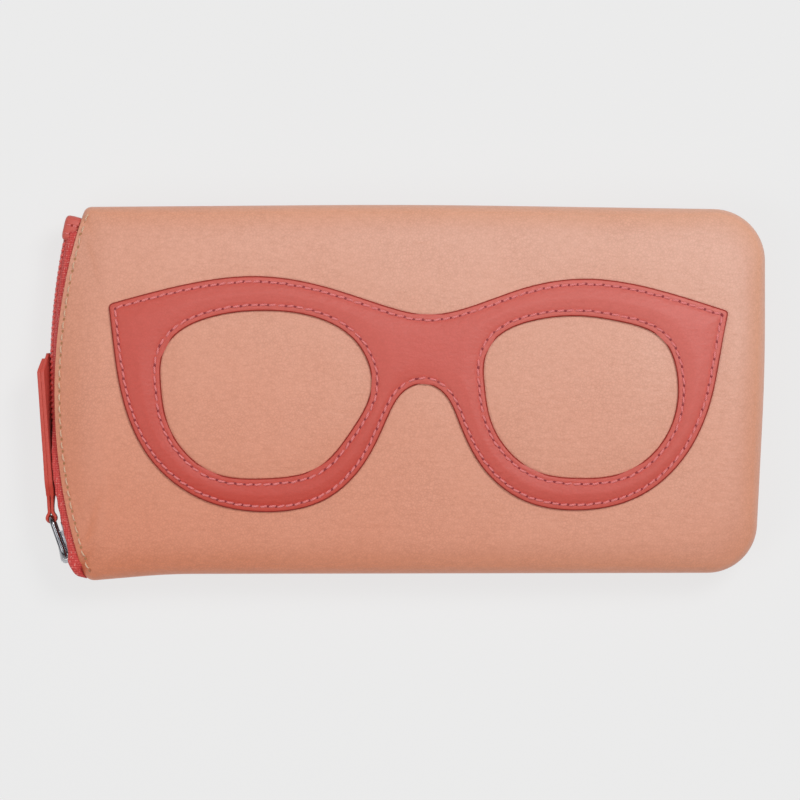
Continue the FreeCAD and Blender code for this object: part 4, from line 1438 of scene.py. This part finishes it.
# Front wall, which opens with the mouth
front_leather = wall_mesh("front_leather", PEACH, front_height, 1, 0.0, LEATHER, 1.5)
fit(front_leather, "peach_leather", "front_panel")
front_foam = wall_mesh("front_foam", FOAM, crown_height, 1, 1.9, 0.2, 3.2, **FOAM_EDGE)
thicken(front_foam, 1.6, -1.0)
fit(front_foam, "foam", "front_padding")
front_lining = wall_mesh("front_lining_cloth", LINING, crown_height, 1, 3.8, 0.2, 2.8, **LINING_EDGE)
thicken(front_lining, 0.5, -1.0)
fit(front_lining, "lining", "front_lining")
applique = fit(applique_mesh(CORAL, CORAL_EDGE), "coral_leather", "glasses_applique")

front_soft = [front_leather, front_foam, front_lining, applique]
for node, label in (
    ("applique_edge_stitches", "applique_edge_thread"),
    ("left_lens_stitches", "left_lens_thread"),
    ("right_lens_stitches", "right_lens_thread"),
):
    row, dents = surface_stitches(label, node, CORAL_THREAD, PAINTED_HOLE_SHADE_RED, seed=len(label))
    fit(row, "coral_thread", node)
    fit(dents, "coral_thread")
    front_soft += [row, dents]

# Zip, tape and the stitches that hold it
for side, body, leather_piece in ((-1, "back_wall", back_leather), (1, "front_wall", front_leather)):
    half = "back" if side < 0 else "front"
    coil = fit(coil_mesh(f"zip_coil_{half}_filament", COIL, COIL_CORD, side), "zip_coil", f"zip_coil_{half}")
    tape = fit(tape_mesh(f"zip_tape_{half}_weave", TAPE, side), "zip_tape", f"zip_tape_{half}")
    name = f"mouth_thread_{half}"
    row, dents = mouth_stitch_mesh(name, side, leather_piece, NATURAL_THREAD, PAINTED_HOLE_SHADE_BROWN)
    fit(row, "natural_thread", f"mouth_stitches_{half}")
    fit(dents, "natural_thread")
    if side < 0:
        for piece in (coil, tape, row, dents):
            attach(piece, body)
    else:
        front_soft += [coil, tape, row, dents]

# Seam thread, tail and tab
seam_line = ring_at(2.4)
seam_line = seam_line[~((seam_line[:, 0] < -70) & (np.abs(seam_line[:, 1]) < 40))]
gap_at = int(np.argmax(np.linalg.norm(np.roll(seam_line, -1, axis=0) - seam_line, axis=1)))
seam_line = np.roll(seam_line, -(gap_at + 1), axis=0)
seam_path = [(x, y, 0.12 * math.sin(i * 1.1)) for i, (x, y) in enumerate(seam_line)]
seam = face_outward(build_mesh("seam_lockstitch", *tube(seam_path, 0.24, 8), NATURAL_THREAD))
fit(seam, "natural_thread", "seam_thread", body="back_wall")

tab_along = along_at(39.4)
tail = rounded_block("zip_tail_weave", TAPE, (tab_along - 2.2, tab_along + 2.0), (-0.9, -2.1), 3.3, 0.45)
fit(tail, "zip_tape", "zip_tail", body="back_wall")
tab = rounded_block("zip_end_tab_leather", CORAL, (tab_along - 3.1, tab_along + 3.2), (0.45, -3.9), 4.4, 0.42)
fit(tab, "coral_leather", "zip_end_tab", body="back_wall")
tab_threads, tab_holes = Heap(), Heap()
for row_along in (tab_along - 1.3, tab_along + 0.8):
    for i in range(3):
        here = np.array(zip_point(row_along, 0.22, (i - 1) * 2.0))
        outward = np.array(zip_point(row_along, 1.22, (i - 1) * 2.0)) - here
        add_stitch(tab_threads, tab_holes, here, (0, 0, 1), outward, 1.4, 0.16, 0.06, 2.0)
        for face in (-1, 1):
            here = np.array(zip_point(row_along, -0.85 - i * 1.4, face * 4.36))
            inward = here - np.array(zip_point(row_along, 0.15 - i * 1.4, face * 4.36))
            add_stitch(tab_threads, tab_holes, here, inward, (0, 0, face), 1.0, 0.14, 0.06, 1.4)
# The tab's needle holes are discs of painted shade, in the cut edge's colour.
tab_row, tab_dents = stitch_pieces(
    tab_threads, tab_holes, "tab_thread", CORAL_THREAD, "tab_needle_hole_shade", CORAL_EDGE
)
fit(tab_row, "coral_thread", "tab_stitches", body="back_wall")
fit(tab_dents, "coral_thread", body="back_wall")

# Divider
divider_cloth = fit(divider_mesh(LINING), "lining", "divider_panel")
hem = fit(hem_mesh(CORAL), "coral_leather", "divider_hem")
hem_row, hem_dents = hem_stitches(CORAL_THREAD, PAINTED_HOLE_SHADE_RED)
fit(hem_row, "coral_thread", "divider_stitches")
fit(hem_dents, "coral_thread")

for piece in front_soft:
    open_with(piece, "front_wall")
for piece in (divider_cloth, hem, hem_row, hem_dents):
    open_with(piece, "divider")

# Slider, ring and pull
for node, metal in (("slider_body", CHROME), ("pull_ring", RING_CHROME_PAINTED_DARK)):
    hard = NODES[node]
    hard.data.materials.clear()
    hard.data.materials.append(metal)
soften(NODES["slider_body"], 0.16)
fit(crown_mesh("slider_crown_cap", CHROME), "chrome", "slider_crown", "slider_lock_spring", body="zip_slider")
fit(strap_mesh(STRAP_FACE, CORAL), "coral_leather", "pull_strap", body="pull_strap")
strap_row, strap_dents = strap_stitches(CORAL_THREAD, PAINTED_HOLE_SHADE_RED)
fit(strap_row, "coral_thread", "pull_stitches", body="pull_strap")
fit(strap_dents, "coral_thread", body="pull_strap")


# ---------------------------------------------------------------- floor, lights and camera


def area_light(name, place, target, size, power, tint=(1.0, 1.0, 1.0)):
    """A soft square light pointed at a target. Places are in metres."""
    lamp = bpy.data.lights.new(name, "AREA")
    lamp.size = size
    lamp.energy = power
    lamp.color = tint
    stand = bpy.data.objects.new(name, lamp)
    stand.location = place
    stand.rotation_euler = (Vector(target) - Vector(place)).to_track_quat("-Z", "Y").to_euler()
    bpy.context.scene.collection.objects.link(stand)
    return stand


floor_mesh = bpy.data.meshes.new("studio_floor")
rim = [(4 * math.cos(a), 4 * math.sin(a), 0.0) for a in np.linspace(0, 2 * math.pi, 64, endpoint=False)]
floor_mesh.from_pydata(rim, [], [tuple(range(64))])
floor_mesh.materials.append(FLOOR)
floor = bpy.data.objects.new("studio_floor", floor_mesh)
floor.location.z = -0.0002
bpy.context.scene.collection.objects.link(floor)

area_light("key", (0.62, 0.62, 1.6), (0, 0, 0), 0.6, 15.5)
area_light("fill", (-0.95, -0.45, 1.4), (0, 0, 0), 0.9, 7.0, (1.0, 0.98, 0.96))

world = bpy.data.worlds.new("studio")
bpy.context.scene.world = world
world.use_nodes = True
sky = world.node_tree.nodes
way = sky.new("ShaderNodeTexCoord").outputs["Generated"]
split = sky.new("ShaderNodeSeparateXYZ")
band = sky.new("ShaderNodeValToRGB")
steps = [(0.0, 0.95), (0.30, 0.85), (0.42, 0.10), (0.66, 0.10), (0.80, 0.95), (1.0, 1.25)]
while len(band.color_ramp.elements) < len(steps):
    band.color_ramp.elements.new(0.5)
for element, (position, grey) in zip(band.color_ramp.elements, steps):
    element.position = position
    element.color = (grey, grey, grey, 1)
world.node_tree.links.new(way, split.inputs[0])
world.node_tree.links.new(split.outputs["Z"], band.inputs[0])
world.node_tree.links.new(band.outputs[0], sky["Background"].inputs["Color"])
sky["Background"].inputs["Strength"].default_value = 0.56

VIEW_CENTRE = (-2.4, -2.05)
VIEW_HEIGHT = 2000.0
VIEW_WIDTH = 192.5
lens = bpy.data.cameras.new("camera")
lens.sensor_width = 36.0
lens.lens = 36.0 * VIEW_HEIGHT / VIEW_WIDTH
lens.clip_end = 50.0
eye = bpy.data.objects.new("camera", lens)
eye.location = (VIEW_CENTRE[0] * MM, VIEW_CENTRE[1] * MM, (SEAM_Z + VIEW_HEIGHT) * MM)
bpy.context.scene.collection.objects.link(eye)
bpy.context.scene.camera = eye
bpy.context.scene.view_settings.view_transform = "Standard"

bpy.context.view_layer.update()
